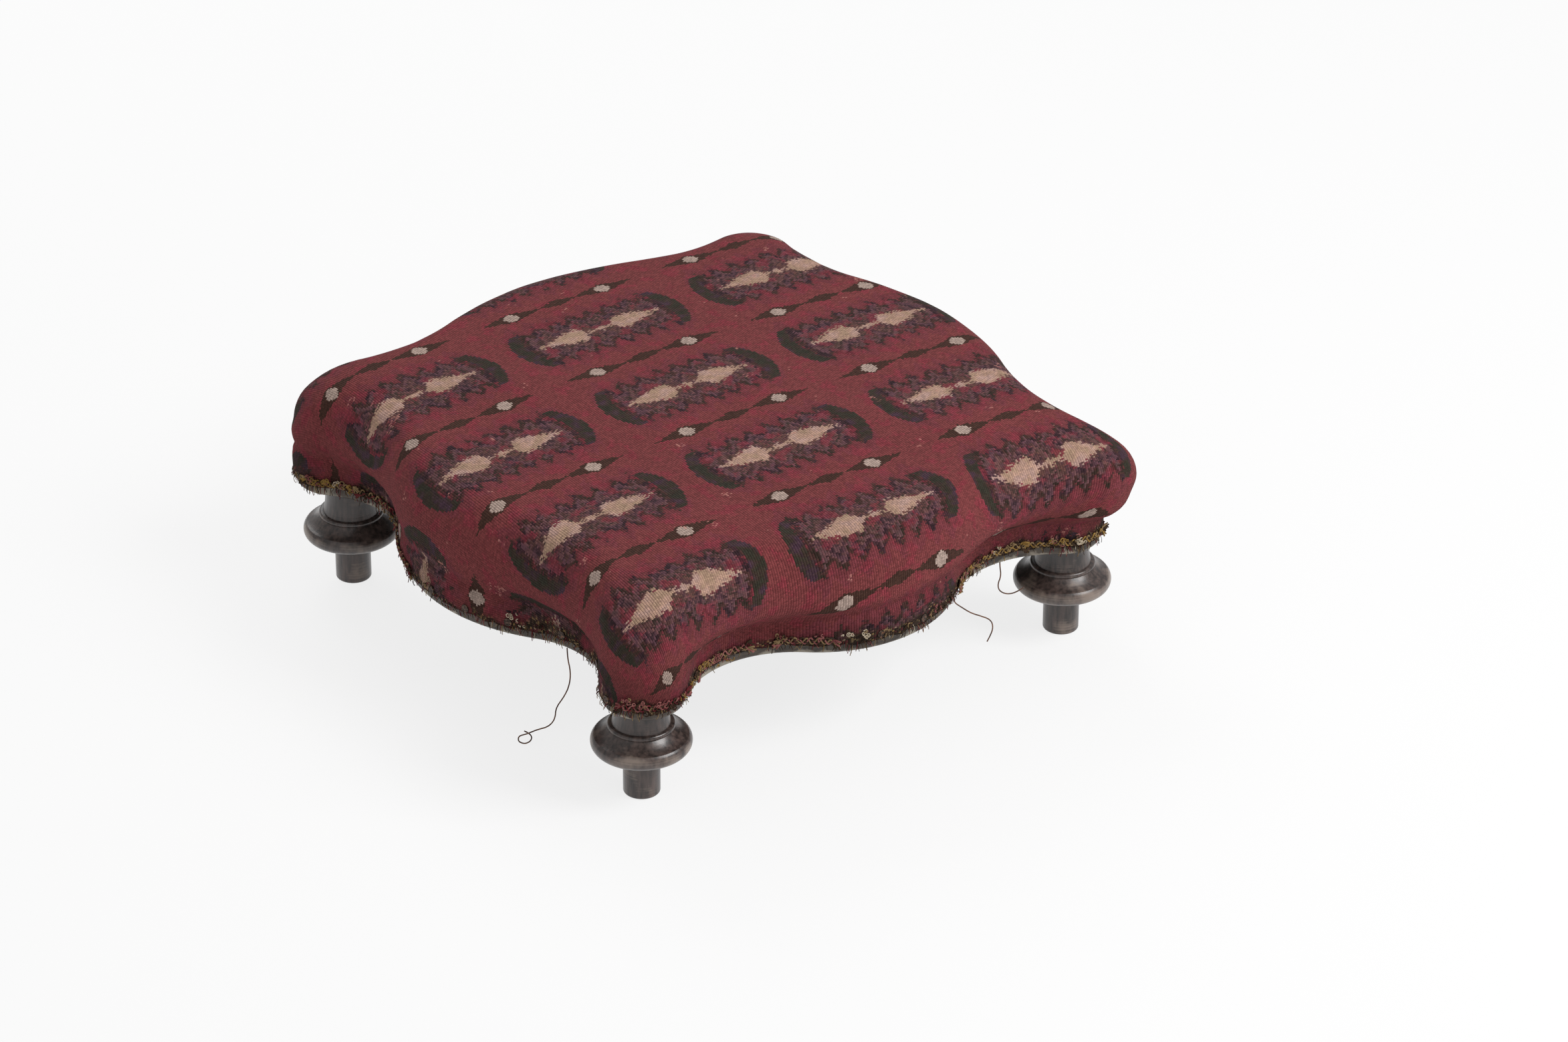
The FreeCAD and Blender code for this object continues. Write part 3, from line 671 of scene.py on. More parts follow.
def diamonds(tree, at, colour):
    ragged = add(tree, "Math MULTIPLY_ADD", at["jitter"], 0.4, at["across_small"])
    masks = []
    for way, (slope, half) in ((at["along_small"], SPINDLE), (at["along"], LINK)):
        edge = add(tree, "Math MULTIPLY_ADD", way, slope, half)
        masks.append(add(tree, "Math LESS_THAN", ragged, edge))
    dark = add(tree, "Math MULTIPLY", add(tree, "Math MAXIMUM", *masks), 0.88)
    colour = add(tree, "Mix", dark, data_type="RGBA", A=colour, B=linear("3A2C22"))
    total = add(tree, "Math ADD", at["along_small"], at["across_small"])
    larger = add(tree, "Math MAXIMUM", at["along_small"], at["across_small"])
    size = add(tree, "Math MULTIPLY_ADD", larger, 0.7, total)
    mask = add(tree, "Math LESS_THAN", size, DIAMOND)
    return add(tree, "Mix", mask, data_type="RGBA", A=colour, B=linear("B09A8F"))


# %% [markdown]
# Age comes last, as it did on the stool. Single stitches are worn down to the canvas, the wool has gone
# near the raw edge, and handling has faded it in soft patches. Wool is dull and scatters light, so it has
# a high roughness, hardly any gloss and a touch of sheen. A bump in ribs gives each stitch its round back.

# %% Wear, and the finished wool
CANVAS = [(0.0, "33291F"), (0.46, "4A3A2B"), (0.66, "5C2A2B"), (0.80, "6B5A40"), (0.91, "8C7148"),
          (0.965, "A8937A")]
WORN_BELOW = (94.5, 98.5)       # mm: bare canvas under the first height, wool above the second
DARKER_BELOW = (94.0, 122.0)


def wear(tree, at, colour):
    bare = add(tree, "TexNoise", at["stitch"], Scale=1 / 20.0, Detail=4.0)
    bare = add(tree, "Math MULTIPLY_ADD", at["speckle"], 0.14, bare)
    bare = add(tree, "MapRange", bare, 0.79, 0.81, 0.0, 0.6)
    colour = add(tree, "Mix", bare, data_type="RGBA", A=colour, B=linear("B27A70"))
    place = add(tree, "TexCoord").outputs["Object"]
    height = add(tree, "SeparateXYZ", place).outputs["Z"]
    edge = add(tree, "TexNoise", place, Scale=patches(23.8), Detail=3.0)
    height = add(tree, "Math MULTIPLY_ADD", edge, 34.0 * MM, height)
    gone = add(tree, "MapRange", height, WORN_BELOW[0] * MM, WORN_BELOW[1] * MM, 0.9, 0.0)
    canvas = add(tree, "ValToRGB", at["speckle"], stops=CANVAS, interpolation="CONSTANT")
    colour = add(tree, "Mix", gone, data_type="RGBA", A=colour, B=canvas)
    # darker towards the bottom of the side: the tone goes from 0.72 low down to 1.06 higher up, along a
    # wandering line
    darker_low = add(tree, "MapRange", height, DARKER_BELOW[0] * MM, DARKER_BELOW[1] * MM, 0.72, 1.06)
    faded = add(tree, "TexNoise", place, Scale=patches(71.4), Detail=3.0)
    tone = add(tree, "Math MULTIPLY_ADD", at["speckle"], 0.46, 0.70)
    tone = add(tree, "Math MULTIPLY_ADD", faded, 0.16, tone)
    tone = add(tree, "Math MULTIPLY", tone, darker_low)
    return add(tree, "VectorMath SCALE", colour, None, None, tone)


def stitch_relief(tree, at):
    ribs = []
    for count in (at["columns"], at["lines"]):
        wave = add(tree, "Math SINE", add(tree, "Math MULTIPLY", count, math.pi))
        ribs.append(add(tree, "Math ABSOLUTE", wave))
    height = add(tree, "Math MULTIPLY_ADD", ribs[1], 0.5, ribs[0])
    height = add(tree, "Math MULTIPLY_ADD", at["speckle"], 0.6, height)
    return add(tree, "Bump", Strength=0.8, Distance=0.6 * MM, Height=height)


def needlework_material():
    material, tree = new_material("flame_stitch_wool_on_canvas")
    at = stitches(tree)
    colour, inside_end = flames(tree, at)
    colour = crescents(tree, at, colour, inside_end)
    colour = lozenges(tree, at, colour)
    colour = wear(tree, at, diamonds(tree, at, colour))
    finish_material(tree, {"Base Color": colour, "Normal": stitch_relief(tree, at), "Roughness": 0.92,
                           "Sheen Weight": 0.03, "Specular IOR Level": 0.08})
    print("nodes in the needlework:", len(tree.nodes))
    return material


# %% [markdown]
# The real cover is one piece of cloth, pulled down over the form and tacked. It could be draped by a
# simulation, but then its pattern would land by chance, and here it has to lie where the photograph shows
# it. So the cover is the crowned form itself, with its creases, and each point carries its place on the
# flat cloth as an attribute that the material reads. Solidify gives the cloth its thickness.

# %% The needlework cover
COVER_THICKNESS = 1.8
LAYER_GAP = 0.3


def make_cover():
    rows = form_points(0, COVER_EDGE)
    mesh = grid_through(worn(rows, fray=True), "needlework", cloth_coordinates(rows))
    mesh.materials.append(needlework_material())
    piece = new_object("needlework_top", mesh)
    thicken(piece, COVER_THICKNESS, -1)
    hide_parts("needlework_cover")
    print("needlework faces:", len(mesh.polygons))


make_cover()

# %% [markdown]
# Under the needlework lie cotton wadding, a calico cover turned in under the stuffing, and the hair itself.
# Each follows the same creases as the cloth above it, so no layer comes through another. What moves the
# cover is worked out once for a level, and added to the layer below. Fleece is matt and cloudy, calico shows
# a fine plain weave, and horsehair is a dark springy tangle. Calico has a thread each 0.4 mm, too fine to
# show, so it is drawn three times as coarse; hair and cotton fibres are drawn as tufts of a millimetre.

# %% Wadding, calico and hair
WADDING_DEPTH = COVER_THICKNESS + LAYER_GAP
WADDING_THICKNESS = 5.0
CALICO_DEPTH = WADDING_DEPTH + WADDING_THICKNESS + LAYER_GAP
CALICO_THICKNESS = 0.8
STUFFING_DEPTH = CALICO_DEPTH + CALICO_THICKNESS + LAYER_GAP
STUFFING_BOTTOM = 95.9
CALICO_HEM = 8.0


def fibre_material(name, dark, light, fibre, cloud, strength, weave=None):
    """Fibres or plain weave: a noise for the tangle, and two crossing waves where it is woven."""
    material, tree = new_material(name)
    place = add(tree, "TexCoord").outputs["Object"]
    tangle = add(tree, "TexNoise", place, Scale=patches(fibre), Detail=3.0, Distortion=0.8)
    clouds = add(tree, "TexNoise", place, Scale=patches(cloud), Detail=3.0)
    mixed = add(tree, "Math MULTIPLY", clouds, 0.6)
    mixed = add(tree, "Math MULTIPLY_ADD", tangle, 0.4, mixed)
    colour = add(tree, "ValToRGB", mixed, stops=[(0.36, dark), (0.64, light)])
    height = tangle
    if weave:
        ways = [add(tree, "TexWave", place, Scale=threads(weave), Distortion=0.6,
                    bands_direction=way).outputs["Fac"] for way in "XY"]
        height = add(tree, "Math MAXIMUM", *ways)
        gaps = add(tree, "MapRange", height, 0.25, 0.8, 0.55, 1.0)
        colour = add(tree, "VectorMath SCALE", colour, None, None, gaps)
    bump = add(tree, "Bump", Strength=strength, Distance=0.5 * MM, Height=height)
    finish_material(tree, {"Base Color": colour, "Normal": bump, "Roughness": 0.95,
                           "Specular IOR Level": 0.15})
    return material


def layer_rows(depth, bottom):
    """The rows of a layer at a depth, moved as the cover over it is moved."""
    outer = form_points(0, bottom)
    moved = worn(outer)
    inner = form_points(depth, bottom)
    return [[point + after - before for point, before, after in zip(*three)]
            for three in zip(inner, outer, moved)]


def make_layer(name, node, rows, material, thickness):
    mesh = grid_through(rows, name)
    mesh.materials.append(material)
    piece = new_object(name, mesh)
    if thickness:
        thicken(piece, thickness, -1)
    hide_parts(node)
    print(name, "faces:", len(mesh.polygons))
    return piece


def make_layers():
    wadding = make_layer("cotton_wadding_layer", "wadding",
                         layer_rows(WADDING_DEPTH, RAIL_TOP + 1),
                         fibre_material("cotton_wadding_fleece", "C9C2B0", "EAE5D8", 1.11, 16.7, 0.5),
                         WADDING_THICKNESS)
    rows = layer_rows(CALICO_DEPTH, RAIL_TOP)
    hem = [Vector((*p, RAIL_TOP)) for p in outline(inset(FRAME, CALICO_DEPTH - BUILD_UP + CALICO_HEM))]
    calico = make_layer("calico_layer", "calico_undercover", [hem] + rows,
                        fibre_material("unbleached_calico", "BCAF94", "DDD3BC", 0.667, 20.0, 0.3, 1.208),
                        CALICO_THICKNESS)
    rows = layer_rows(STUFFING_DEPTH, STUFFING_BOTTOM)
    base = [[Vector((p.x * share, p.y * share, STUFFING_BOTTOM)) for p in rows[0]] for share in (0, 0.4, 0.8)]
    hair = make_layer("hair_stuffing_pad", "stuffing", base + rows,
                      fibre_material("curled_horsehair", "231B16", "5A4638", 1.43, 11.1, 1.0), 0)


make_layers()

# %% [markdown]
# Three jute webs run each way, woven over and under one another and folded over at their tacked ends. Jute
# is coarse, dry and golden, and webbing has a thread each 2 mm. A web could be bent with a curve modifier,
# but a grid through a line drawn from the side shows how it dips, and keeps the weave exact.

# %% Jute webbing
WEB_HALF = 144.0
WEB_FOLD = 22.0
WEB_THICKNESS = 1.6
WEB_WEAVE = 0.95
WEB_PITCH = 76.0
WEB_WIDTH = 50.0
WEB_STEP = 4.0          # mm from row to row along a web
WEB_STEPS = 29          # rows on either side of its middle
WEB_FLAT = 116.0        # past this distance from the middle, a web lies flat on its rail


def web_line(over_first):
    """A web from the side, in mm: its fold at one end, its waves over and under, and its other fold."""
    line = [(-WEB_HALF + WEB_FOLD, 1.5 * WEB_THICKNESS), (-WEB_HALF + 1, 1.5 * WEB_THICKNESS),
            (-WEB_HALF + 0.4, WEB_THICKNESS), (-WEB_HALF + 1, 0.5 * WEB_THICKNESS)]
    fold_back = [(-x, z) for x, z in line[::-1]]
    for step in range(-WEB_STEPS, WEB_STEPS + 1):
        x = step * WEB_STEP
        ends = min(1, max(0, (WEB_FLAT - abs(x)) / 13))
        wave = math.cos(x / WEB_PITCH * math.pi) * (-1 if over_first else 1)
        line.append((x, 0.5 * WEB_THICKNESS + WEB_WEAVE * max(-1, min(1, 1.6 * wave)) * ends))
    return line + fold_back


def make_web(name, number, material, over_first, across):
    """One web: a folded strip that follows the others over and under."""
    rows = []
    for x, z in web_line(over_first):
        widths = [number * WEB_PITCH + WEB_WIDTH * (step / 4 - 0.5) for step in range(5)]
        rows.append([Vector((-y, x, RAIL_TOP + z) if across else (x, y, RAIL_TOP + z)) for y in widths])
    mesh = grid_through(rows, name, closed=False)
    mesh.materials.append(material)
    piece = new_object(name, mesh)
    thicken(piece, WEB_THICKNESS - 0.1, 0)
    return piece


def make_webbing():
    jute = fibre_material("jute_webbing_weave", "8A7350", "B79E74", 0.833, 25.0, 0.8, 2.094)
    for number in (-1, 0, 1):
        for across, kind in ((False, "lengthwise"), (True, "crosswise")):
            over_first = (number == 0) != across
            piece = make_web(f"jute_web_{kind}_{number + 2}", number, jute, over_first, across)
            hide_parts(f"web_{kind}_{number + 2}")
            print(piece.name, "starts over the others" if over_first else "starts under the others")


make_webbing()

# %% [markdown]
# A hessian platform lies on the webs and carries the hair, and a dust cloth closes the underside, cut out
# round the feet. A stretched cloth still sinks a little between its tacks. Hessian is jute with a thread each
# 1.5 mm. Black cambric is drawn with a thread each millimetre, coarser than it is, because a finer one
# would not show.

# %% Hessian and dust cloth
FOOT_X = 157.6
FOOT_Y = 154.2
CUTOUT = 24.0
CLOTH_SHARES = [1, 0.985, 0.95, 0.9, 0.8, 0.68, 0.54, 0.4, 0.26, 0.12, 0]     # from the rim to the middle


def flat_cloth(name, rim, height, sag, material, thickness):
    """A stretched cloth inside a rim, sinking by sag in the middle and never at its edge."""
    rows = []
    for share in CLOTH_SHARES:
        row = []
        for point in rim:
            soft = noise.noise(Vector((point.x * share, point.y * share, 5)) / 45.0)
            drop = sag * (1 - share ** 6) * (1 + 0.5 * soft)
            row.append(Vector((point.x * share, point.y * share, height - drop)))
        rows.append(row)
    mesh = grid_through(rows, name)
    mesh.materials.append(material)
    piece = new_object(name, mesh)
    thicken(piece, thickness, 0)
    print(name, "faces:", len(mesh.polygons))
    return piece


def make_flat_cloths():
    rim = outline(inset(FRAME, 10.0))
    hessian = flat_cloth("hessian_cloth", rim, 94.4, 0.0,
                         fibre_material("hessian_weave", "7D6847", "A98F63", 1.0, 28.6, 0.9, 1.496), 0.7)
    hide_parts("hessian_platform")
    rim = []
    for point in outline(inset(FRAME, 12.0)):
        foot = Vector((math.copysign(FOOT_X, point.x), math.copysign(FOOT_Y, point.y)))
        if (point - foot).length < CUTOUT:
            ray = point.normalized()
            middle = ray.dot(foot)
            point = ray * (middle - math.sqrt(CUTOUT ** 2 - (foot.length_squared - middle ** 2)))
        rim.append(point)
    cloth = flat_cloth("dust_cloth", rim, 67.6, 2.2,
                       fibre_material("black_cambric", "1D1B1A", "3A3633", 0.625, 40.0, 0.4, 1.047), 0.7)
    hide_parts("bottom_cloth")


make_flat_cloths()

# %% [markdown]
# A braid once hid the raw edge. What is left of it are short plaited lengths and a few unravelled loops,
# and the canvas itself frays between them. All of it is spun wool, dull and soft, in six colours, and all of
# it starts at the foot of the cover. So the wools and the places round that foot come first.

# %% Wools, and the foot of the cover
WOOLS = {"dark": ("2B211A", "4C3A2C"), "red": ("4E1F22", "7E3338"), "tan": ("6B563C", "9A8260"),
         "gold": ("664A20", "A8874C"), "pink": ("6A3336", "A56E68"), "cream": ("9E8E78", "CFC1AA")}
WOOL_ORDER = list(WOOLS)


def skirt():
    """The foot of the cover: for each station a place, the way outwards and the way along."""
    points = outline(inset(FRAME, -BUILD_UP))
    found = []
    for station, point in enumerate(points):
        along = (points[(station + 1) % STATIONS] - points[station - 1]).normalized()
        found.append((Vector((*point, 0)), Vector((along.y, -along.x, 0)), Vector((*along, 0))))
    return found


places_round = skirt()
wool_materials = [fibre_material("wool_" + name, dark, light, 0.385, 4.17, 0.6)
                  for name, (dark, light) in WOOLS.items()]
print("wools:", ", ".join(WOOLS))

# %% [markdown]
# Where canvas has been cut, its threads work loose one by one and hang. Each is drawn as a fine tube through
# four wandering points. A soft noise says where the edge is busy, and a seeded random source makes the same
# fray each time.

# %% Frayed edge
FRAY_RADIUS = 0.22      # mm


def make_fray(places, wools):
    """Short ends of canvas and wool along the raw edge."""
    chance = random.Random(11)
    runs = []
    for start, outward, along in places:
        busy = noise.noise(start / 22.0)
        for _ in range(3 if busy > 0.05 else 2 if busy > -0.15 else 1):
            place = start + along * chance.uniform(-1.2, 1.2) - outward * chance.uniform(0.2, 1.2)
            place.z = COVER_EDGE + wander_of(start) + chance.uniform(0.0, 2.4)
            long = chance.uniform(1.5, 4.6) * (1.5 if busy > 0.2 else 1)
            lean = along * chance.uniform(-1.3, 1.3)
            points = [place, place + outward * 1.1 + lean * 0.3 - Vector((0, 0, 0.25 * long)),
                      place + outward * chance.uniform(0.9, 2.0) + lean - Vector((0, 0, 0.6 * long)),
                      place + outward * chance.uniform(0.3, 1.8) + lean * 1.6 - Vector((0, 0, long))]
            number = chance.choices(range(6), weights=(9, 6, 5, 1, 1, 1))[0]
            runs.append((points, number))
    fray = strands("raw_edge_fray", FRAY_RADIUS, wools, runs)


make_fray(places_round, wool_materials)

# %% [markdown]
# Where the braid has come undone, its wool stands off the cloth in loops. They could be scattered at random,
# but their places, colours and sizes follow the photograph. A loop is an uneven arc that moves outwards.

# %% Unravelled loops
LOOP_RADIUS = 0.33      # mm
TUFTS = [(246, 81.0, "gold", 1.5, 9), (249, 80.5, "cream", 1.3, 7), (252, 79.5, "gold", 1.2, 7),
         (243, 81.0, "gold", 1.3, 7), (241, 81.5, "pink", 1.5, 7), (238, 80.0, "tan", 1.0, 5),
         (255, 78.0, "dark", 1.2, 6), (261, 77.0, "tan", 0.8, 6), (265, 76.0, "gold", 0.7, 5),
         (283, 82.0, "pink", 0.9, 5), (295, 82.0, "dark", 1.2, 6), (316, 85.0, "cream", 1.0, 6),
         (318, 81.0, "cream", 0.8, 5), (322, 80.0, "dark", 1.1, 6), (331, 79.0, "tan", 0.8, 4),
         (361, 83.0, "pink", 1.0, 7), (365, 82.0, "pink", 1.1, 8), (370, 81.0, "pink", 1.2, 8),
         (368, 77.5, "dark", 1.2, 9), (374, 78.0, "dark", 1.2, 9), (378, 80.0, "gold", 1.0, 8),
         (383, 80.0, "gold", 1.2, 8), (388, 82.0, "gold", 1.6, 12), (390, 80.5, "gold", 1.3, 9),
         (392, 81.0, "pink", 1.4, 10), (394, 77.0, "gold", 1.0, 7), (404, 82.5, "tan", 1.1, 6),
         (411, 83.0, "pink", 0.9, 5), (418, 84.0, "cream", 1.2, 8), (422, 82.0, "cream", 1.1, 8),
         (427, 81.0, "tan", 0.8, 6), (433, 80.0, "dark", 1.2, 9), (441, 80.0, "tan", 1.0, 8),
         (445, 80.0, "dark", 1.1, 9), (449, 79.0, "dark", 1.2, 9), (456, 77.0, "gold", 1.4, 12),
         (458, 78.0, "tan", 1.1, 8), (464, 82.0, "dark", 1.1, 7), (469, 83.0, "cream", 0.9, 6),
         (472, 82.0, "tan", 0.9, 6), (480, 81.0, "gold", 1.2, 8), (483, 80.0, "gold", 1.1, 8),
         (487, 82.0, "cream", 1.4, 10), (494, 79.0, "tan", 1.0, 7), (90, 80.0, "tan", 1.0, 7),
         (102, 79.0, "dark", 1.2, 8), (150, 80.0, "gold", 1.0, 7), (176, 79.0, "tan", 1.1, 7),
         (28, 80.0, "tan", 1.0, 6), (48, 79.0, "dark", 1.1, 7)]    # station, height, wool, loop size, loops

def make_tufts(places, wools):
    """Unravelled loops of the old braid, standing a little off the cloth."""
    chance = random.Random(7)
    runs = []
    for station, height, wool, size, loops in TUFTS:
        start, outward, along = places[station]
        middle = start + Vector((0, 0, height - 1.5)) + outward * 0.7
        for _ in range(loops):
            centre = middle + along * chance.gauss(0, 1.9) + Vector((0, 0, chance.gauss(0, 1.3)))
            radius = size * chance.uniform(0.6, 1.3)
            first = chance.uniform(0, math.tau)
            points = []
            for step in range(chance.randint(5, 7)):
                angle = first + step * chance.uniform(0.8, 1.15)
                points.append(centre + along * math.cos(angle) * radius
                              + Vector((0, 0, math.sin(angle) * radius * 0.9))
                              + outward * (0.4 + 0.35 * step * chance.uniform(0.2, 0.9)))
            other = chance.choices(("dark", "pink", "tan", wool), weights=(1, 1, 1, 7))[0]
            runs.append((points, WOOL_ORDER.index(other)))
    tufts = strands("unravelled_braid", LOOP_RADIUS, wools, runs, profile=1)


make_tufts(places_round, wool_materials)

# %% [markdown]
# Some lengths of the braid still hold. A plait is three strands that weave round one another like waves a
# third of a turn apart, and so they are written here, with some slack. A cut end has a few stray fibres.

# %% Worn braid
BRAID_RADIUS = 0.5      # mm
PLAIT = 7.0             # mm along the braid for one strand's way round
BRAID_HEIGHT = 78.4
BRAID_PIECES = {
    "back_left_corner": [(240, 252)], "left_side": [(254, 264), (270, 287)],
    "front_left_corner": [(360, 379)],
    "front_side": [(387, 398), (404, 414), (456, 463)], "front_right_corner": [(462, 474), (476, 497)],
}
BRAID_WOOLS = {"back_left_corner": ("gold", "tan", "dark"), "left_side": ("tan", "dark", "red"),
               "front_left_corner": ("red", "pink", "dark"), "front_side": ("tan", "dark", "pink"),
               "front_right_corner": ("tan", "gold", "dark")}


def make_braid(places, wools):
    """Three plaited strands along each length that is left."""
    for name, lengths in BRAID_PIECES.items():
        colours = BRAID_WOOLS[name]
        chance = random.Random(len(name))
        runs = []
        for first, last in lengths:
            for strand in range(3):
                points = []
                travelled = 0
                for station in range(first, last + 1):
                    start, outward, _ = places[station]
                    travelled += (start - places[station - 1][0]).length if station > first else 0
                    for half in (0, 0.5):
                        ahead = places[(station + 1) % STATIONS][0] - start
                        phase = ((travelled + ahead.length * half) / PLAIT + strand / 3) * math.tau
                        slack = noise.noise(Vector((station, 9 * strand, 0)) / 4.0)
                        lift = BRAID_HEIGHT + (2.2 + slack) * math.sin(phase) + 1.6 * slack
                        depth = 0.85 + 0.45 * math.sin(2 * phase) + 0.5 * abs(slack)
                        points.append(start + ahead * half + outward * depth + Vector((0, 0, lift)))
                runs.append((points, WOOL_ORDER.index(colours[strand])))
                for end, sign in ((points[0], -1), (points[-1], 1)):
                    _, outward, along = places[first if sign < 0 else last]
                    for _ in range(5):
                        far = end + along * sign * chance.uniform(1, 5) + outward * chance.uniform(0, 1.5)
                        far.z -= chance.uniform(-1, 3.5)
                        bend = (end + far) / 2 + Vector((0, 0, chance.uniform(-1, 1.4))) + outward * 0.5
                        runs.append(([end, bend, far], WOOL_ORDER.index(colours[strand])))
        piece = strands("worn_braid_" + name, BRAID_RADIUS, wools, runs, profile=1, steps=2)
        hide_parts("braid_remnant_" + name)


make_braid(places_round, wool_materials)

# %% [markdown]
# The frame is beech, sawn, and stained dark long ago. Beech has short fine flecks and little figure, so
# the stain does most of the talking. Noise stretched along the grain makes the figure, a coarse noise breaks
# up the stain, and the lower outer edge is made pale, partly as wear where shoes reach and partly as a
# painted highlight along the edge. The imported pieces keep their shapes, and only get a material.

# %% Rails
def stained_rail(name, grain_axis):
    """Sawn and stained beech: dark, half dull, with a lower edge made pale by wear and a painted highlight.
    """
    material, tree = new_material(name)
    place = add(tree, "TexCoord").outputs["Object"]
    stretch = tuple(patches(83.3 if axis == grain_axis else 3.85) for axis in "XYZ")
    mapped = add(tree, "Mapping", place, Scale=stretch)
    grain = add(tree, "TexNoise", mapped, Scale=1.0, Detail=4.0, Roughness=0.6)
    stain = add(tree, "TexNoise", place, Scale=patches(14.3), Detail=4.0)
    base = add(tree, "ValToRGB", grain, stops=[(0.35, "2F2822"), (0.65, "54483D")])
    height = add(tree, "SeparateXYZ", place).outputs["Z"]
    # painted highlight and wear: the lower outer edge is mixed towards a pale colour, little on the underside
    low = add(tree, "MapRange", height, 68.5 * MM, 72.5 * MM, 0.16, 0.0)
    wear_and_highlight_level = add(tree, "Math ADD", stain, low)
    facing = add(tree, "SeparateXYZ", add(tree, "NewGeometry").outputs["Normal"]).outputs["Z"]
    wear_and_highlight_by_facing = add(tree, "MapRange", facing, -0.9, -0.5, 0.12, 0.85)
    rubbed_and_highlight = add(tree, "MapRange", wear_and_highlight_level, 0.60, 0.70, 0.0, wear_and_highlight_by_facing)
    colour = add(tree, "Mix", rubbed_and_highlight, data_type="RGBA", A=base, B=linear("A39A8B"))
    finish_material(tree, {"Base Color": colour,
                           "Roughness": add(tree, "MapRange", stain, 0.3, 0.7, 0.35, 0.6),
                           "Normal": add(tree, "Bump", Strength=0.35, Distance=0.4 * MM, Height=grain)})
    return material


def paint(names, material):
    """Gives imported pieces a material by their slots."""
    for name in names:
        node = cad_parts[name]
        node.data.materials.clear()
        node.data.materials.append(material)
    print(material.name, "on", len(names), "packed pieces")


paint(["front_rail", "back_rail"], stained_rail("stained_beech_rail_x", "X"))
paint(["left_rail", "right_rail"], stained_rail("stained_beech_rail_y", "Y"))

# %% [markdown]
# The feet are the same beech, turned on a lathe and finished with shellac, a thin coat over the stain. The
# tool leaves fine rings, about a millimetre apart, so noise is read from the distance to each foot's own
# axis. All four axes are found at once, because the feet stand in mirrored places.

# %% Feet
def turned_beech():
    """Feet turned on a lathe: fine rings round each foot's own axis, rims made paler by wear and a painted
    highlight, and painted shade on the upper neck.
    """
    material, tree = new_material("stained_beech_turned")
    place = add(tree, "TexCoord").outputs["Object"]
    folded = add(tree, "VectorMath ABSOLUTE", place)
    local = add(tree, "VectorMath SUBTRACT", folded, (FOOT_X * MM, FOOT_Y * MM, 0))
    flat = add(tree, "VectorMath MULTIPLY", local, (1, 1, 0))
    radius = add(tree, "VectorMath LENGTH", flat)
    height = add(tree, "SeparateXYZ", place).outputs["Z"]
    profile = add(tree, "CombineXYZ", radius, height, 0.0)
    rings = add(tree, "TexNoise", profile, Scale=patches(1.11), Detail=2.0)
    flecks = add(tree, "Mapping", place, Scale=(patches(2.38), patches(2.38), patches(16.7)))
    flecks = add(tree, "TexNoise", flecks, Scale=1.0, Detail=3.0)
    stain = add(tree, "TexNoise", place, Scale=patches(18.2), Detail=4.0)
    base = add(tree, "ValToRGB", flecks, stops=[(0.35, "2D2523"), (0.68, "594A45")])
    # painted highlight and wear: the rim of each disc is mixed towards a pale colour
    rim_wear_and_highlight = add(tree, "MapRange", radius, 27.0 * MM, 30.0 * MM, 0.0, 0.14)
    wear_and_highlight_level = add(tree, "Math ADD", stain, rim_wear_and_highlight)
    wear_and_highlight_level = add(tree, "Math MULTIPLY_ADD", rings, 0.25, wear_and_highlight_level)
    rubbed_and_highlight = add(tree, "MapRange", wear_and_highlight_level, 0.70, 0.86, 0.0, 0.7)
    colour = add(tree, "Mix", rubbed_and_highlight, data_type="RGBA", A=base, B=linear("97877B"))
    # painted shade: the upper neck is darkened towards the frame above it
    painted_neck_shade = add(tree, "MapRange", height, 46.0 * MM, 58.0 * MM, 1.0, 0.5)
    colour = add(tree, "VectorMath SCALE", colour, None, None, painted_neck_shade)
    shape = add(tree, "Math MULTIPLY_ADD", flecks, 0.5, rings)
    finish_material(tree, {"Base Color": colour,
                           "Roughness": add(tree, "MapRange", stain, 0.3, 0.7, 0.24, 0.44),
                           "Coat Weight": 0.35, "Coat Roughness": 0.28,
                           "Normal": add(tree, "Bump", Strength=0.35, Distance=0.3 * MM, Height=shape)})
    return material


paint(["foot_front_left", "foot_front_right", "foot_back_left", "foot_back_right"], turned_beech())

# %% [markdown]
# Upholsterer's tacks are cut iron, blued when new. On an old stool they have rusted: still metal where they
# are sound, brown and dull where they are pitted. One noise decides both, so colour and metal go together.

# %% Tacks
def rusty_iron():
    """Blued iron that has rusted: dark metal where it is sound, brown and dull where it is pitted."""
    material, tree = new_material("rusty_iron_tack")
    pits = add(tree, "TexNoise", add(tree, "TexCoord").outputs["Object"], Scale=patches(1.43), Detail=3.0)
    colour = add(tree, "ValToRGB", pits, stops=[(0.35, "2A2320"), (0.55, "4A3A31"), (0.7, "7A4F33")])
    finish_material(tree, {"Base Color": colour, "Roughness": 0.6,
                           "Metallic": add(tree, "MapRange", pits, 0.4, 0.6, 0.85, 0.15),
                           "Normal": add(tree, "Bump", Strength=0.4, Distance=0.3 * MM, Height=pits)})
    return material


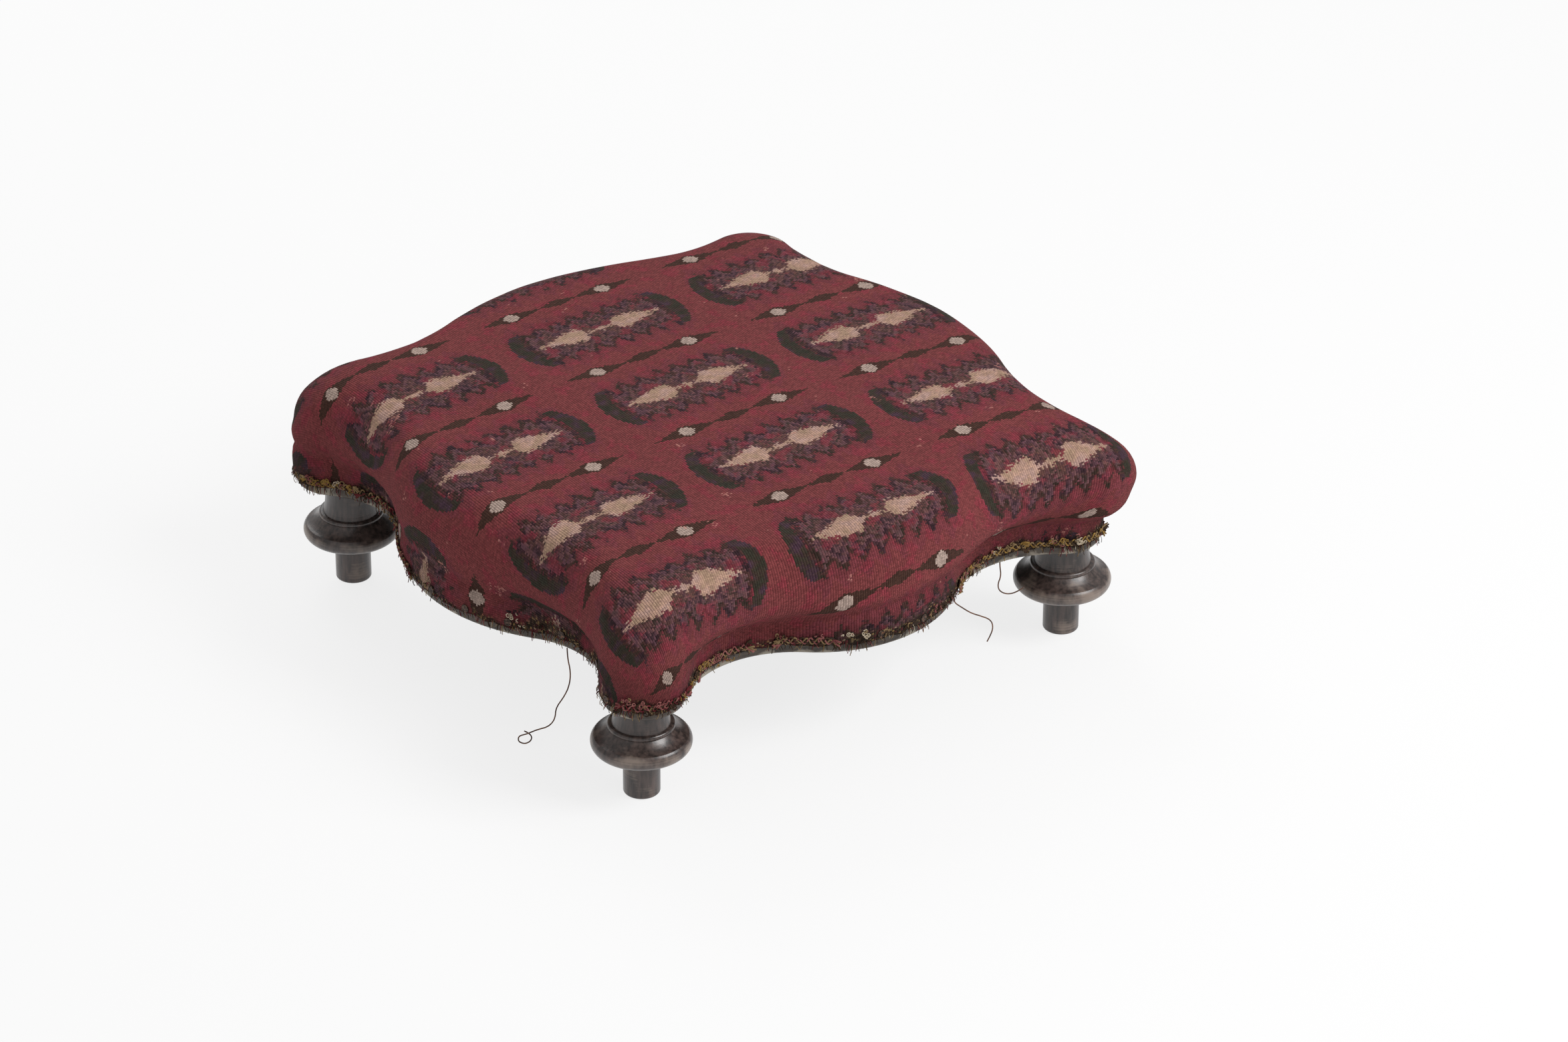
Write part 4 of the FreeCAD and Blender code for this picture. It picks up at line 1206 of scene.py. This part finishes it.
paint(["webbing_tacks", "hessian_tacks", "calico_tacks", "cover_tacks", "bottom_cloth_tacks"], rusty_iron())

# %% [markdown]
# A plain pale floor and three broad soft lamps: a key from the front right, a weak fill from the left and a
# little light from behind. Broad lamps give the soft shadow that the photograph has. The floor glows for
# the camera and for reflections only, so the background is white and the shadow stays.

# %% Floor and light
CAMERA_SHARE = 0.8      # of the floor's look that is plain white for the camera
WORLD_STRENGTH = 0.44


def make_stage():
    bm = bmesh.new()
    bmesh.ops.create_grid(bm, x_segments=1, y_segments=1, size=6)
    bmesh.ops.translate(bm, verts=bm.verts, vec=(0, 0, -0.1 * MM))
    floor = bpy.data.objects.new("floor", mesh_of(bm, "floor"))
    bpy.context.scene.collection.objects.link(floor)
    material, tree = new_material("pale_floor")
    shader = add(tree, "BsdfPrincipled", **{"Base Color": linear("F2F2F2"), "Roughness": 0.9})
    path = add(tree, "LightPath").outputs
    seen = add(tree, "Math MAXIMUM", path["Is Camera Ray"], path["Is Glossy Ray"])
    share = add(tree, "Math MULTIPLY", seen, CAMERA_SHARE)
    add(tree, "OutputMaterial", add(tree, "MixShader", share, shader, add(tree, "Emission", WHITE, 1.0)))
    floor.data.materials.append(material)
    world = bpy.data.worlds.new("studio")
    world.use_nodes = True
    background = world.node_tree.nodes["Background"]
    background.inputs["Color"].default_value = WHITE
    background.inputs["Strength"].default_value = WORLD_STRENGTH
    bpy.context.scene.world = world


def make_lamp(name, place, size, power):
    data = bpy.data.lights.new(name, "AREA")
    data.size = size
    data.energy = power
    lamp = bpy.data.objects.new(name, data)
    aim = (Vector((0, 0, 0.08)) - Vector(place)).to_track_quat("-Z", "Y")
    lamp.matrix_world = Matrix.Translation(place) @ aim.to_matrix().to_4x4()
    bpy.context.scene.collection.objects.link(lamp)
    print(name, "lamp:", power, "W")


make_stage()
make_lamp("key", (0.9, -1.5, 1.7), 1.1, 35)
make_lamp("fill", (-1.8, -0.6, 1.2), 1.5, 1.6)
make_lamp("back", (0.4, 1.8, 1.6), 1.2, 14)
bpy.context.scene.view_settings.view_transform = "Standard"
